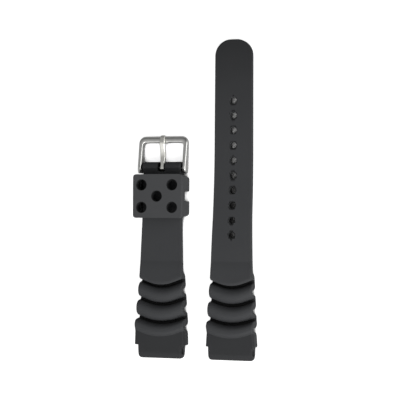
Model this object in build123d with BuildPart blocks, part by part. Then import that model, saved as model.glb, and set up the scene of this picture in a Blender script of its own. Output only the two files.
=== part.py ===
"""Rubber dive strap: the buckle half and the long half, lying flat side by side.

Millimetres. +Y runs from the lug ends towards the buckle and the tail, +X to the
right and +Z up. The origin is the centre of the buckle half's lug bore. Heights
are measured from the table that both halves lie on.
"""

import os
from math import asin, atan, cos, hypot, radians, sin, tan

from build123d import *

# Lug end of both halves
lug_width = 22.0
lug_radius = 3.6
lug_bore_radius = 1.5
lug_corner_radius = 1.4
shoulder_end = 3.1
shoulder_root = 10.0
block_crest_height = 8.4
block_fall = 0.5
block_step = 0.15
block_line = 7.4
block_bend_radius = 28.0
block_bite = 0.05

# Bellows of both halves
rib_start = 13.0
groove_first = 32.2
bellows_pitch = 9.1
flat_bend_radius = 17.0
middle_bend_radius = 19.8
lug_bend_radius = 26.0
bend_limit = 20.5
groove_width = 1.4
groove_floor_height = 2.6
groove_flat_lip = 0.7
rib_rise = 3.5
notch_reach = 5.2
notch_width = 2.0
notch_ceiling_height = 4.6
notch_lip = 1.8
lip_rise = 0.1
bulge_start = 38.5

# Flat of both halves
sheet_thickness = 2.7
sheet_root = 44.0
sheet_root_height = 2.9

# Buckle half
short_shoulder_wing = 1.85
short_shoulder_root_wing = 1.55
short_rib_wing = 1.75
buckle_half_length = 90.0
short_root_taper = 0.1
short_keeper_taper = 1.6
short_keeper_station = 63.6
short_neck_taper = 2.4
short_end_taper = 3.0
neck_length = 3.1
neck_end_length = 1.2
loop_radius = 3.0
short_end_corner = 0.4

# Long half
long_shoulder_wing = 1.15
long_shoulder_root_wing = 0.65
long_rib_wing = 0.9
half_spacing = 36.0
tail_tip = 152.5
long_root_taper = 1.1
long_middle_taper = 2.65
long_middle = 66.0
long_tail_taper = 3.15
tail_corner_radius = 8.0
table_station = 98.0
hole_radius = 1.65
hole_count = 10
hole_first = 57.0
hole_pitch = 7.3

# Keeper
keeper_length = 21.4
keeper_play = 0.2
keeper_gap = 0.7
keeper_tuck = 1.2
keeper_side_wall = 2.05
keeper_back_wall = 1.1
keeper_front_wall = 4.3
keeper_corner = 0.9
tunnel_corner = 0.4
keeper_hole_radius = 2.6
keeper_hole_spacing_x = 15.8
keeper_hole_spacing_y = 11.0
keeper_hole_offset = 0.5
side_notch_length = 4.9
side_notch_depth = 3.0
side_notch_below_face = 3.4
side_notch_corner = 0.9
seat_clearance = 0.2

# Buckle frame
buckle_side_clearance = 0.9
buckle_arm_width = 2.4
buckle_window = 12.3
buckle_ear_radius = 2.6
buckle_bar_thickness = 2.9
buckle_bar_breadth = 3.4
buckle_corner_radius = 3.4
buckle_inner_corner = 1.0
ear_hole_depth = 1.4

# Tang
tang_width = 2.6
tang_neck_width = 2.0
tang_thickness = 1.7
tang_sleeve_wall = 0.7
tang_dip_reach = 7.0
tang_dip_height = 2.5
tang_over_bar = 0.1
tang_overhang = 0.45
tang_tip_drop = 1.2
tang_slot_clearance = 0.35
tang_slot_back = 0.3

# Spring bar
barrel_radius = 0.9
barrel_bore_radius = 0.65
barrel_end_wall = 0.45
pin_radius = 0.42
pin_head_radius = 0.59
pin_head_length = 0.6
pin_flange_radius = 0.75
pin_flange_thickness = 0.3
pin_tip_length = 1.1
pin_travel = 1.25
spring_wire_radius = 0.1
spring_turns = 16
running_clearance = 0.05
face_clearance = 0.1

# Cutting tools run this far past what they cut
overrun = 2.0


def level(height):
    """Z of a height above the table."""
    return height - lug_radius


def half_turn_arc(centre, radius, start_angle):
    """Half a circle, anticlockwise from an angle in degrees."""
    return CenterArc(centre, radius, start_angle, 180)


# Heights of the strap's faces
sheet_root_top = sheet_root_height + sheet_thickness
bar_height = loop_radius
bar_z = level(bar_height)
neck_height = keeper_back_wall + seat_clearance

# Grooves from the flat to the lug, each with the radius of its bend
grooves = [
    (groove_first, flat_bend_radius),
    (groove_first - bellows_pitch, middle_bend_radius),
    (groove_first - 2 * bellows_pitch, lug_bend_radius),
]
block_crest_start = groove_first - 2 * bellows_pitch - groove_width / 2 - rib_rise
crest_slope = (block_crest_height - sheet_root_top) / (sheet_root - block_crest_start)


def crest_height(station):
    """Height of the rib crests, which fall evenly from the block to the flat."""
    return block_crest_height - crest_slope * (station - block_crest_start)


# Widths of both halves, which follow the lug width
shoulder_width = lug_width + 2 * max(short_shoulder_wing, long_shoulder_wing)
short_root_width = lug_width - short_root_taper
short_keeper_width = lug_width - short_keeper_taper
short_neck_width = lug_width - short_neck_taper
short_end_width = lug_width - short_end_taper
long_root_width = lug_width - long_root_taper
long_middle_width = lug_width - long_middle_taper
long_tail_width = lug_width - long_tail_taper

# Places along the buckle half, which follow the bar
neck_start = buckle_half_length - neck_length
neck_end = buckle_half_length - neck_end_length
keeper_middle = buckle_half_length - buckle_ear_radius - keeper_gap - keeper_length / 2
buckle_bar_inner = buckle_half_length + buckle_window
buckle_bar_outer = buckle_bar_inner + buckle_bar_breadth
tang_dip_station = buckle_half_length + tang_dip_reach

# Sizes that pieces share
keeper_width = short_root_width + 2 * keeper_side_wall
tunnel_height = 2 * sheet_thickness + keeper_play
keeper_height = keeper_back_wall + tunnel_height + keeper_front_wall
inner_buckle_width = short_end_width + 2 * buckle_side_clearance
buckle_width = inner_buckle_width + 2 * buckle_arm_width
bar_bore_radius = barrel_radius + running_clearance
tang_sleeve_radius = bar_bore_radius + tang_sleeve_wall
slot_width = tang_width + 2 * tang_slot_clearance
slot_back = buckle_half_length - tang_sleeve_radius - tang_slot_back
slot_length = buckle_half_length + loop_radius + overrun - slot_back
pin_flange_outer = inner_buckle_width / 2 - face_clearance
pin_flange_inner = pin_flange_outer - pin_flange_thickness
barrel_half = pin_flange_inner - pin_travel
ear_hole_radius = pin_radius + running_clearance

# The buckle's upper face, tangent to its ears and its far bar
bar_end_radius = buckle_bar_thickness / 2
bow_run = buckle_bar_outer - bar_end_radius - buckle_half_length
bow_drop = bar_height - bar_end_radius
bow_slope = atan(bow_drop / bow_run) + asin(
    (buckle_ear_radius - bar_end_radius) / hypot(bow_run, bow_drop)
)


def over_bow(station):
    """Height of the tang's underside where it lies over the buckle's upper face."""
    fall = (station - buckle_half_length) * tan(bow_slope)
    return bar_height + buckle_ear_radius / cos(bow_slope) - fall + tang_over_bar


# Rings that cut the bellows, each bent about an upright axis on the buckle side, with
# straight ends
def ring_plane(middle, station, radius):
    """Upright plane through a ring's axis, turned to the left end of its bend."""
    turn = radians(-bend_limit)
    return Plane(
        origin=(middle, station + radius, 0),
        x_dir=(sin(turn), -cos(turn), 0),
        z_dir=(-cos(turn), -sin(turn), 0),
    )


def rib_arc(foot, run, top, side):
    """Quarter of an ellipse from a groove's wall up to a rib's crest, on one side."""
    bed = level(groove_floor_height) + groove_width / 2
    return EllipticalCenterArc(
        (foot + side * run, bed),
        run,
        top - bed,
        start_angle=90 if side > 0 else 0,
    )


def groove_outline(station, radius):
    """Section of a top groove: a round floor between a rib and a rib or the flat."""
    half = groove_width / 2
    near, far = radius - half, radius + half
    far_top = level(crest_height(station - half - rib_rise) + lip_rise)
    floor = level(groove_floor_height) + half
    ceiling = level(block_crest_height) + overrun
    with BuildLine() as outline:
        half_turn_arc((radius, floor), half, 180)
        rib_arc(far, rib_rise, far_top, 1)
        if station < groove_first:
            near_run = bellows_pitch - groove_width - rib_rise
            near_top = level(crest_height(station + half + near_run) + lip_rise)
            rib_arc(near, near_run, near_top, -1)
        else:
            near_run = groove_flat_lip
            near_top = level(crest_height(station + half) + lip_rise)
            lip_foot = near_top - groove_flat_lip
            RadiusArc((near - near_run, near_top), (near, lip_foot), groove_flat_lip)
            Line((near, lip_foot), (near, floor))
        Polyline(
            (far + rib_rise, far_top),
            (far + rib_rise, ceiling),
            (near - near_run, ceiling),
            (near - near_run, near_top),
        )
    return outline.line


def notch_outline(radius):
    """Section of an underside notch, from below the table to its round ceiling."""
    half = notch_width / 2
    near, far = radius - half, radius + half
    ceiling = level(notch_ceiling_height) - half
    bottom, lip_top = level(-lip_rise), level(notch_lip - lip_rise)
    with BuildLine() as outline:
        half_turn_arc((radius, ceiling), half, 0)
        Line((near, ceiling), (near, lip_top))
        RadiusArc((near, lip_top), (near - notch_lip, bottom), notch_lip)
        Polyline(
            (near - notch_lip, bottom),
            (near - notch_lip, bottom - overrun),
            (far + notch_lip, bottom - overrun),
            (far + notch_lip, bottom),
        )
        RadiusArc((far + notch_lip, bottom), (far, lip_top), notch_lip)
        Line((far, lip_top), (far, ceiling))
    return outline.line


def block_outline():
    """Section of what is taken off the block: the last rib's slope and the plateau."""
    line, crest = block_bend_radius, block_bend_radius + block_line - block_crest_start
    foot = level(block_crest_height - block_fall)
    plateau = foot - block_step
    tube_top = lug_radius - block_bite
    fall = (plateau - tube_top) / block_line
    end = line + block_line + lug_radius + overrun
    ceiling = level(block_crest_height) + overrun
    with BuildLine() as outline:
        Polyline(
            (crest, level(block_crest_height)),
            (line, foot),
            (line, plateau),
            (end, plateau - fall * (end - line)),
            (end, ceiling),
            (crest, ceiling),
            close=True,
        )
    return outline.line


def bellows_rings(middle):
    """Everything that is cut out of one half's bellows and block."""
    cuts = [(block_line, block_bend_radius, block_outline())]
    for station, radius in grooves:
        cuts.append((station, radius, groove_outline(station, radius)))
        cuts.append((station - notch_reach, radius, notch_outline(radius)))
    with BuildPart() as rings:
        for station, radius, outline in cuts:
            with BuildSketch(ring_plane(middle, station, radius)) as section:
                add(outline)
                make_face()
            axis = Axis((middle, station + radius, 0), (0, 0, 1))
            revolve(axis=axis, revolution_arc=bend_limit)
            extrude(section.sketch, amount=shoulder_width / 2)
        mirror(about=Plane.YZ.offset(middle))
    return rings.part


# Outlines of both halves
def lug_plan(shoulder_wing, shoulder_root_wing, rib_wing, root_width):
    """Right-hand plan points from the lug tube to the start of the flat."""
    return [
        (0, -lug_radius),
        (lug_width / 2, -lug_radius),
        (lug_width / 2, shoulder_end),
        (lug_width / 2 + shoulder_wing, shoulder_end),
        (lug_width / 2 + shoulder_root_wing, shoulder_root),
        (lug_width / 2 + rib_wing, rib_start),
        (root_width / 2, bulge_start),
    ]


def plan_sketch(middle, points, end_radius):
    """Plan of a half on the table, from its right-hand points, with round corners."""
    with BuildSketch(Plane((middle, 0, level(0)))) as plan:
        with BuildLine():
            Polyline(*points)
            mirror(about=Plane.YZ)
        make_face()
        lug_row = plan.vertices().group_by(Axis.Y)[0].sort_by(Axis.X)
        fillet([lug_row[0], lug_row[-1]], lug_corner_radius)
        end_row = plan.vertices().group_by(Axis.Y)[-1].sort_by(Axis.X)
        fillet([end_row[0], end_row[-1]], end_radius)
    return plan.sketch


# Buckle half
short_rings = bellows_rings(0)
short_plan = plan_sketch(
    0,
    lug_plan(
        short_shoulder_wing, short_shoulder_root_wing, short_rib_wing, short_root_width
    )
    + [
        (short_keeper_width / 2, short_keeper_station),
        (short_neck_width / 2, neck_start),
        (short_end_width / 2, neck_end),
        (short_end_width / 2, buckle_half_length + loop_radius),
        (0, buckle_half_length + loop_radius),
    ],
    short_end_corner,
)

with BuildPart() as short_strap:
    with BuildSketch(Plane.YZ):
        with BuildLine():
            half_turn_arc((0, 0), lug_radius, 90)
            Line((0, -lug_radius), (bulge_start - sheet_root_height, -lug_radius))
            RadiusArc(
                (bulge_start - sheet_root_height, -lug_radius),
                (bulge_start, level(sheet_root_height)),
                -sheet_root_height,
            )
            Polyline(
                (bulge_start, level(sheet_root_height)),
                (neck_start, level(neck_height)),
                (buckle_half_length, bar_z - loop_radius),
            )
            half_turn_arc((buckle_half_length, bar_z), loop_radius, -90)
            Polyline(
                (buckle_half_length, bar_z + loop_radius),
                (neck_start, level(neck_height + sheet_thickness)),
                (sheet_root, level(sheet_root_top)),
                (block_crest_start, level(block_crest_height)),
                (0, level(block_crest_height)),
                (0, lug_radius),
            )
        make_face()
    extrude(amount=shoulder_width / 2, both=True)
    extrude(short_plan, amount=block_crest_height, mode=Mode.INTERSECT)
    add(short_rings, mode=Mode.SUBTRACT)
    with BuildSketch(Plane.YZ):
        Circle(lug_bore_radius)
        with Locations((buckle_half_length, bar_z)):
            Circle(bar_bore_radius)
    extrude(amount=shoulder_width, both=True, mode=Mode.SUBTRACT)
    with BuildSketch(Plane.XY.offset(level(0))):
        with Locations((0, slot_back)):
            Rectangle(slot_width, slot_length, align=(Align.CENTER, Align.MIN))
    extrude(amount=block_crest_height, mode=Mode.SUBTRACT)

short_strap.part.label = "short_strap"

# Long half
long_rings = bellows_rings(half_spacing)
long_plan = plan_sketch(
    half_spacing,
    lug_plan(
        long_shoulder_wing, long_shoulder_root_wing, long_rib_wing, long_root_width
    )
    + [
        (long_middle_width / 2, long_middle),
        (long_tail_width / 2, tail_tip),
        (0, tail_tip),
    ],
    tail_corner_radius,
)
fall_middle = (bulge_start + table_station) / 2
top_middle = (sheet_root + table_station) / 2

with BuildPart() as long_strap:
    with BuildSketch(Plane.YZ.offset(half_spacing)):
        with BuildLine():
            half_turn_arc((0, 0), lug_radius, 90)
            Line((0, -lug_radius), (bulge_start - sheet_root_height, -lug_radius))
            RadiusArc(
                (bulge_start - sheet_root_height, -lug_radius),
                (bulge_start, level(sheet_root_height)),
                -sheet_root_height,
            )
            TangentArc(
                (bulge_start, level(sheet_root_height)),
                (fall_middle, level(sheet_root_height / 2)),
                tangent=(1, 0),
            )
            TangentArc(
                (table_station, level(0)),
                (fall_middle, level(sheet_root_height / 2)),
                tangent=(-1, 0),
            )
            Polyline(
                (table_station, level(0)),
                (tail_tip, level(0)),
                (tail_tip, level(sheet_thickness)),
                (table_station, level(sheet_thickness)),
            )
            TangentArc(
                (table_station, level(sheet_thickness)),
                (top_middle, level(sheet_thickness + sheet_root_height / 2)),
                tangent=(-1, 0),
            )
            TangentArc(
                (sheet_root, level(sheet_root_top)),
                (top_middle, level(sheet_thickness + sheet_root_height / 2)),
                tangent=(1, 0),
            )
            Polyline(
                (sheet_root, level(sheet_root_top)),
                (block_crest_start, level(block_crest_height)),
                (0, level(block_crest_height)),
                (0, lug_radius),
            )
        make_face()
    extrude(amount=shoulder_width / 2, both=True)
    extrude(long_plan, amount=block_crest_height, mode=Mode.INTERSECT)
    add(long_rings, mode=Mode.SUBTRACT)
    with BuildSketch(Plane.YZ.offset(half_spacing)):
        Circle(lug_bore_radius)
    extrude(amount=shoulder_width, both=True, mode=Mode.SUBTRACT)
    with BuildSketch(Plane.XY.offset(level(0))):
        for i in range(hole_count):
            with Locations((half_spacing, hole_first + i * hole_pitch)):
                Circle(hole_radius)
    extrude(amount=block_crest_height, mode=Mode.SUBTRACT)

long_strap.part.label = "long_strap"

# Keeper, a sleeve whose back is shorter than its face
keeper_half = keeper_length / 2

with BuildPart() as keeper:
    with BuildSketch(Plane.YZ):
        with Locations((keeper_middle, 0)):
            Polygon(
                (-keeper_half, level(keeper_height)),
                (-keeper_half + keeper_tuck, level(0)),
                (keeper_half - keeper_tuck, level(0)),
                (keeper_half, level(keeper_height)),
                align=None,
            )
    extrude(amount=keeper_width / 2, both=True)
    fillet(keeper.edges().filter_by(Axis.Y), keeper_corner)
    with BuildSketch(Plane.XZ.offset(-keeper_middle)):
        with Locations((0, level(keeper_back_wall))):
            RectangleRounded(
                short_root_width,
                tunnel_height,
                tunnel_corner,
                align=(Align.CENTER, Align.MIN),
            )
    extrude(amount=keeper_length, both=True, mode=Mode.SUBTRACT)
    with BuildSketch(Plane.XY.offset(level(keeper_height))):
        with Locations((-keeper_hole_offset, keeper_middle)):
            Circle(keeper_hole_radius)
            with GridLocations(keeper_hole_spacing_x, keeper_hole_spacing_y, 2, 2):
                Circle(keeper_hole_radius)
    extrude(amount=-keeper_front_wall - keeper_back_wall, mode=Mode.SUBTRACT)
    with BuildSketch(Plane.XY.offset(level(0))):
        for side in (-1, 1):
            with Locations((side * keeper_width / 2, keeper_middle)):
                RectangleRounded(
                    2 * side_notch_depth, side_notch_length, side_notch_corner
                )
    extrude(amount=keeper_height - side_notch_below_face, mode=Mode.SUBTRACT)

keeper.part.label = "keeper"

# Buckle frame, a bow whose far bar rests on the table
with BuildPart() as buckle_frame:
    with BuildSketch(Plane.YZ):
        with Locations((buckle_half_length, bar_z)):
            Circle(buckle_ear_radius)
        with Locations((buckle_half_length + bow_run, level(bar_end_radius))):
            Circle(bar_end_radius)
        make_hull()
    extrude(amount=buckle_width / 2, both=True)
    with BuildSketch(Plane.XY.offset(level(0))):
        with Locations((0, buckle_bar_outer)):
            RectangleRounded(
                buckle_width,
                2 * (buckle_bar_outer - buckle_half_length + buckle_ear_radius),
                buckle_corner_radius,
                align=(Align.CENTER, Align.MAX),
            )
        with Locations((0, buckle_bar_inner)):
            RectangleRounded(
                inner_buckle_width,
                2 * (buckle_bar_inner - buckle_half_length + buckle_ear_radius),
                buckle_inner_corner,
                align=(Align.CENTER, Align.MAX),
                mode=Mode.SUBTRACT,
            )
    extrude(amount=2 * buckle_ear_radius + loop_radius, mode=Mode.INTERSECT)
    with BuildSketch(Plane.YZ):
        with Locations((buckle_half_length, bar_z)):
            Circle(ear_hole_radius)
    extrude(
        amount=inner_buckle_width / 2 + ear_hole_depth, both=True, mode=Mode.SUBTRACT
    )

buckle_frame.part.label = "buckle_frame"

# Tang, cranked down from the bar and up over the far bar, with a hooked tip
tang_tip = buckle_bar_outer + tang_overhang
half_thick = tang_thickness / 2

with BuildPart() as tang:
    with BuildSketch(Plane.YZ):
        with Locations((buckle_half_length, bar_z)):
            Circle(tang_sleeve_radius)
        with BuildLine():
            Polyline(
                (buckle_half_length, bar_z + half_thick),
                (tang_dip_station, level(tang_dip_height + half_thick)),
                (buckle_bar_inner, level(over_bow(buckle_bar_inner) + tang_thickness)),
                (tang_tip - half_thick, level(over_bow(tang_tip) + tang_thickness)),
                (tang_tip, level(over_bow(tang_tip) + half_thick)),
                (tang_tip, level(over_bow(tang_tip) + half_thick - tang_tip_drop)),
                (buckle_bar_outer, level(over_bow(buckle_bar_outer))),
                (buckle_bar_inner, level(over_bow(buckle_bar_inner))),
                (tang_dip_station, level(tang_dip_height - half_thick)),
                (buckle_half_length, bar_z - half_thick),
                close=True,
            )
        make_face()
    extrude(amount=tang_width / 2, both=True)
    with BuildSketch(Plane.XY.offset(level(0))):
        with BuildLine():
            Polyline(
                (0, slot_back),
                (tang_neck_width / 2, slot_back),
                (tang_neck_width / 2, buckle_half_length + tang_sleeve_radius),
                (tang_width / 2, tang_dip_station),
                (tang_width / 2, tang_tip),
                (0, tang_tip),
            )
            mirror(about=Plane.YZ)
        make_face()
    extrude(amount=2 * loop_radius, mode=Mode.INTERSECT)
    with BuildSketch(Plane.YZ):
        with Locations((buckle_half_length, bar_z)):
            Circle(bar_bore_radius)
    extrude(amount=tang_width, both=True, mode=Mode.SUBTRACT)

tang.part.label = "tang"

# Spring bar: a barrel with two sprung pins, all on the bar axis
bar_plane = Plane((0, buckle_half_length, bar_z), x_dir=(1, 0, 0), z_dir=(0, -1, 0))
bar_axis = Axis((0, buckle_half_length, bar_z), (1, 0, 0))
cavity_half = barrel_half - barrel_end_wall
head_outer = cavity_half - running_clearance
head_inner = head_outer - pin_head_length
stem_hole_radius = pin_radius + running_clearance
tip_end = inner_buckle_width / 2 + pin_tip_length

with BuildPart() as bar_barrel:
    with BuildSketch(bar_plane):
        with BuildLine():
            Polyline(
                (barrel_half, stem_hole_radius),
                (barrel_half, barrel_radius),
                (-barrel_half, barrel_radius),
                (-barrel_half, stem_hole_radius),
                (-cavity_half, stem_hole_radius),
                (-cavity_half, barrel_bore_radius),
                (cavity_half, barrel_bore_radius),
                (cavity_half, stem_hole_radius),
                close=True,
            )
        make_face()
    revolve(axis=bar_axis)

bar_barrel.part.label = "bar_barrel"


def pin_outline(side):
    """Half section of a pin: head in the barrel, stem, flange and tip."""
    stations = [
        (head_inner, 0),
        (head_inner, pin_head_radius),
        (head_outer, pin_head_radius),
        (head_outer, pin_radius),
        (pin_flange_inner, pin_radius),
        (pin_flange_inner, pin_flange_radius),
        (pin_flange_outer, pin_flange_radius),
        (pin_flange_outer, pin_radius),
        (tip_end, pin_radius),
        (tip_end, 0),
    ]
    return [(side * station, radius) for station, radius in stations]


with BuildPart() as bar_pin_right:
    with BuildSketch(bar_plane):
        Polygon(*pin_outline(1), align=None)
    revolve(axis=bar_axis)

bar_pin_right.part.label = "bar_pin_right"

with BuildPart() as bar_pin_left:
    with BuildSketch(bar_plane):
        Polygon(*pin_outline(-1), align=None)
    revolve(axis=bar_axis)

bar_pin_left.part.label = "bar_pin_left"

# Spring, an open coil between the two pin heads
coil_radius = barrel_bore_radius - running_clearance - spring_wire_radius
coil_half = head_inner - running_clearance - spring_wire_radius

with BuildPart() as bar_spring:
    with BuildLine():
        coil = Helix(
            pitch=2 * coil_half / spring_turns,
            height=2 * coil_half,
            radius=coil_radius,
            center=(-coil_half, buckle_half_length, bar_z),
            direction=(1, 0, 0),
        )
    with BuildSketch(coil ^ 0):
        Circle(spring_wire_radius)
    sweep()

bar_spring.part.label = "bar_spring"

os.makedirs("parts", exist_ok=True)
export_step(short_strap.part, "parts/short_strap.step")
export_step(long_strap.part, "parts/long_strap.step")
export_step(keeper.part, "parts/keeper.step")
export_step(buckle_frame.part, "parts/buckle_frame.step")
export_step(tang.part, "parts/tang.step")
export_step(bar_barrel.part, "parts/bar_barrel.step")
export_step(bar_pin_left.part, "parts/bar_pin_left.step")
export_step(bar_pin_right.part, "parts/bar_pin_right.step")
export_step(bar_spring.part, "parts/bar_spring.step")
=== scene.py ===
"""Rubber dive strap: its rubber, its steel and a small studio, around the packed model.

Metres, in the packed model's frame. +Y runs from the lug ends towards the buckle and
the tail, and the origin is the centre of the buckle half's lug bore. In the side view
of a piece a point is (y, height above the table).
"""

from math import asin, atan, cos, hypot, radians, sin, sqrt, tan

import bmesh
import bpy
from bpy.props import FloatProperty, FloatVectorProperty, IntProperty, PointerProperty
from mathutils import Matrix, Vector


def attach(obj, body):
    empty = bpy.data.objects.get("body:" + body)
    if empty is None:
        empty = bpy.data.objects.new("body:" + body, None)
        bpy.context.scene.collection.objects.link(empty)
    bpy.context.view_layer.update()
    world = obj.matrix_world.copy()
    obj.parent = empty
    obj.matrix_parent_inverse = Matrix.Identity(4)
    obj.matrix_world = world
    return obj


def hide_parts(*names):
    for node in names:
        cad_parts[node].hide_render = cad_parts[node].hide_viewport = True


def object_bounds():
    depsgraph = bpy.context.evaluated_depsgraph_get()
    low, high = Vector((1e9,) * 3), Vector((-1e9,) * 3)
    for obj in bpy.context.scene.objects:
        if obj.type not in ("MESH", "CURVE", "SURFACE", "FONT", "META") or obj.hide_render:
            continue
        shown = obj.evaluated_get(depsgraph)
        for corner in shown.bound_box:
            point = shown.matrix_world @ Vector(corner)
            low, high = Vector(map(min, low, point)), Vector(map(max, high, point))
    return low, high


bl_info = {
    "name": "Rubber dive strap",
    "version": (1, 0, 0),
    "blender": (4, 5, 0),
    "location": "View3D > Sidebar > Dive strap",
    "description": "Builds a two-piece rubber dive strap with its keeper and pin buckle",
    "category": "Object",
}

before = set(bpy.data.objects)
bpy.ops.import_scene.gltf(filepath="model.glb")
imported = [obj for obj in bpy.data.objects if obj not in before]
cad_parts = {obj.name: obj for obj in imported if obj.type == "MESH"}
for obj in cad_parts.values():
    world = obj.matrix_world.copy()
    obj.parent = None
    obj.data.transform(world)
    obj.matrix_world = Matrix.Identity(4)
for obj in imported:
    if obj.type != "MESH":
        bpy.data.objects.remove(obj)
cad_box = [list(corner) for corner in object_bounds()]

MM = 0.001
TABLE = cad_box[0][2]
MERGE = 0.000001


def length(name, description, millimetres):
    """A size property, given in millimetres."""
    return FloatProperty(
        name=name, description=description, default=millimetres * MM, unit="LENGTH", precision=5
    )


def angle(name, description, degrees):
    """An angle property, given in degrees."""
    return FloatProperty(
        name=name, description=description, default=radians(degrees), subtype="ANGLE"
    )


def number(name, description, default, low=0.0):
    """A plain number property, with its lowest value."""
    return FloatProperty(name=name, description=description, default=default, min=low)


def how_many(name, description, default):
    """A property for a number of copies."""
    return IntProperty(name=name, description=description, default=default, min=1)


def paint(name, description, default):
    """A colour property, in linear light."""
    return FloatVectorProperty(
        name=name, description=description, default=default, subtype="COLOR", size=3, min=0.0, max=1.0
    )


# Sizes that a user would change, one group for each kind of piece


class LugEndSizes(bpy.types.PropertyGroup):
    """The lug tube, the block and the ribs of both halves."""

    lug_width: length("Lug width", "Length of the lug tube", 22.0)
    lug_radius: length("Lug radius", "Outer radius of the lug tube", 3.6)
    lug_corner: length("Lug corner", "Rounding of the tube's ends", 1.4)
    bore_radius: length("Bore radius", "Radius of the lug bore", 1.5)
    bore_mouth: length("Bore mouth", "How far the bore's mouth flares", 0.3)
    shoulder_end: length("Shoulder end", "Where the shoulders stop", 3.1)
    shoulder_root: length("Shoulder root place", "Where the shoulder starts", 10.0)
    shoulder_corner: length("Shoulder corner", "Rounding of the wing", 0.35)
    block_height: length("Block height", "Height of the last rib's crest", 8.4)
    block_fall: length("Block fall", "From that crest down to the curved line", 0.5)
    block_step: length("Block step", "Height of the step at the curved line", 0.15)
    block_line: length("Block line", "Where the curved line crosses the middle", 7.4)
    rib_start: length("Rib start", "Where the ribs are widest", 13.0)
    first_groove: length("First groove", "Groove beside the flat", 31.95)
    pitch: length("Pitch", "From one groove to the next", 9.0)
    groove_half: length("Groove half width", "Half the width of a groove", 0.7)
    groove_floor: length("Groove floor", "Height of a groove's floor", 2.6)
    dark_depth_lug: length("Dark depth, lug", "Height of the shade, by the lug", 1.2)
    dark_depth_flat: length("Dark depth, flat", "Height of the shade, by the flat", 3.4)
    flat_lip: length("Flat lip", "Run of the flat's rounding at its groove", 1.5)
    flat_lip_fall: length("Flat lip fall", "Fall of that rounding", 0.4)
    rib_rise: length("Rib rise", "From a groove's wall up to the next crest", 3.5)
    groove_pull: length("Groove pull", "How far a rib's ends draw in at a groove", 0.3)
    notch_reach: length("Notch reach", "From a groove back to its notch", 5.2)
    notch_half: length("Notch half width", "Half the width of a notch", 1.0)
    notch_ceiling: length("Notch ceiling", "Height of a notch's ceiling", 4.6)
    notch_pull: length("Notch pull", "How far the sides draw in at a notch", 0.4)
    notch_lip: length("Notch lip", "Rounding of a notch's mouth", 1.8)
    bulge_end: length("Bulge end", "Where the last bulge ends", 38.5)
    root_top: length("Root place", "Where the flat's face begins", 44.0)
    root_height: length("Root height", "Underside of the flat at its root", 2.9)
    bow_flat: length("Bow at the flat", "Radius of the groove by the flat", 17.0)
    bow_middle: length("Bow in the middle", "Radius of the middle groove", 19.8)
    bow_lug: length("Bow at the lug", "Radius of the groove by the lug", 26.0)
    rise_power_lug: number("Rise power, lug", "Squareness of a rib's rise by the lug", 2.9, 1.5)
    rise_power_flat: number("Rise power, flat", "Squareness of the rise by the flat", 1.85, 1.5)
    bow_limit: angle("Bow limit", "Half of a groove's arc, past which it runs straight", 20.5)
    groove_count: how_many("Grooves", "Grooves across each half", 3)


class FlatSizes(bpy.types.PropertyGroup):
    """The plain parts of both halves, and how far their lug ends stand out."""

    short_shoulder: length("Short shoulder", "Buckle half's shoulders", 1.85)
    short_shoulder_root: length("Short shoulder root", "Their width at the root", 1.55)
    short_ribs: length("Short ribs", "Buckle half's ribs", 1.75)
    short_tube_edge: length("Short tube edge", "Rounding of its tube's ends", 0.3)
    long_shoulder: length("Long shoulder", "Long half's shoulders", 1.15)
    long_shoulder_root: length("Long shoulder root", "Their width at the root", 0.65)
    long_ribs: length("Long ribs", "Long half's ribs", 0.9)
    long_tube_edge: length("Long tube edge", "Rounding of its tube's ends", 0.6)
    thickness: length("Thickness", "Thickness of the flat", 2.7)
    edge: length("Edge", "Rounding of the flat's edges", 0.4)
    rib_edge: length("Rib edge", "Rounding of the ribs' ends", 0.75)
    short_root: length("Short root", "Width of the buckle half's root", 21.9)
    short_middle: length("Short middle", "Width where the keeper starts", 20.4)
    short_middle_place: length("Short middle place", "Where that width is", 63.6)
    short_neck: length("Short neck", "Width at the neck", 19.6)
    short_end: length("Short end", "Width of the loop", 19.8)
    neck_length: length("Neck length", "From the neck to the bar", 3.1)
    neck_end: length("Neck end", "From the neck's end to the bar", 1.2)
    neck_height: length("Neck height", "Underside of the neck", 1.3)
    bar_place: length("Bar place", "Where the spring bar lies", 90.0)
    loop_radius: length("Loop radius", "Outer radius of the loop", 3.0)
    loop_corner: length("Loop corner", "Rounding of the loop's ends", 0.6)
    bar_bore: length("Bar bore", "Radius of the spring bar's bore", 0.95)
    slot_width: length("Slot width", "Width of the tang's slot", 3.3)
    slot_back: length("Slot back", "Back of the tang's slot", 88.3)
    slot_corner: length("Slot corner", "Rounding of the slot's back", 0.9)
    long_root: length("Long root", "Width of the long half's root", 20.9)
    long_middle: length("Long middle", "Width in the middle", 19.35)
    long_middle_place: length("Long middle place", "Where that width is", 66.0)
    long_tail: length("Tail width", "Width of the tail", 18.85)
    tail_tip: length("Tail tip", "Where the tail ends", 152.5)
    tail_corner: length("Tail corner", "Rounding of the tail in plan", 8.0)
    table_place: length("Table place", "Where the long half meets the table", 98.0)
    long_middle_x: length("Long half's middle", "From one half to the other", 36.0)
    hole_radius: length("Hole radius", "Radius of an adjustment hole", 1.65)
    hole_rim: length("Hole rim", "Rounding of a hole's rim", 0.2)
    first_hole: length("First hole", "Hole nearest the ribs", 57.0)
    hole_pitch: length("Hole pitch", "From one hole to the next", 7.3)
    hole_count: how_many("Holes", "Adjustment holes", 10)


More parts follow.
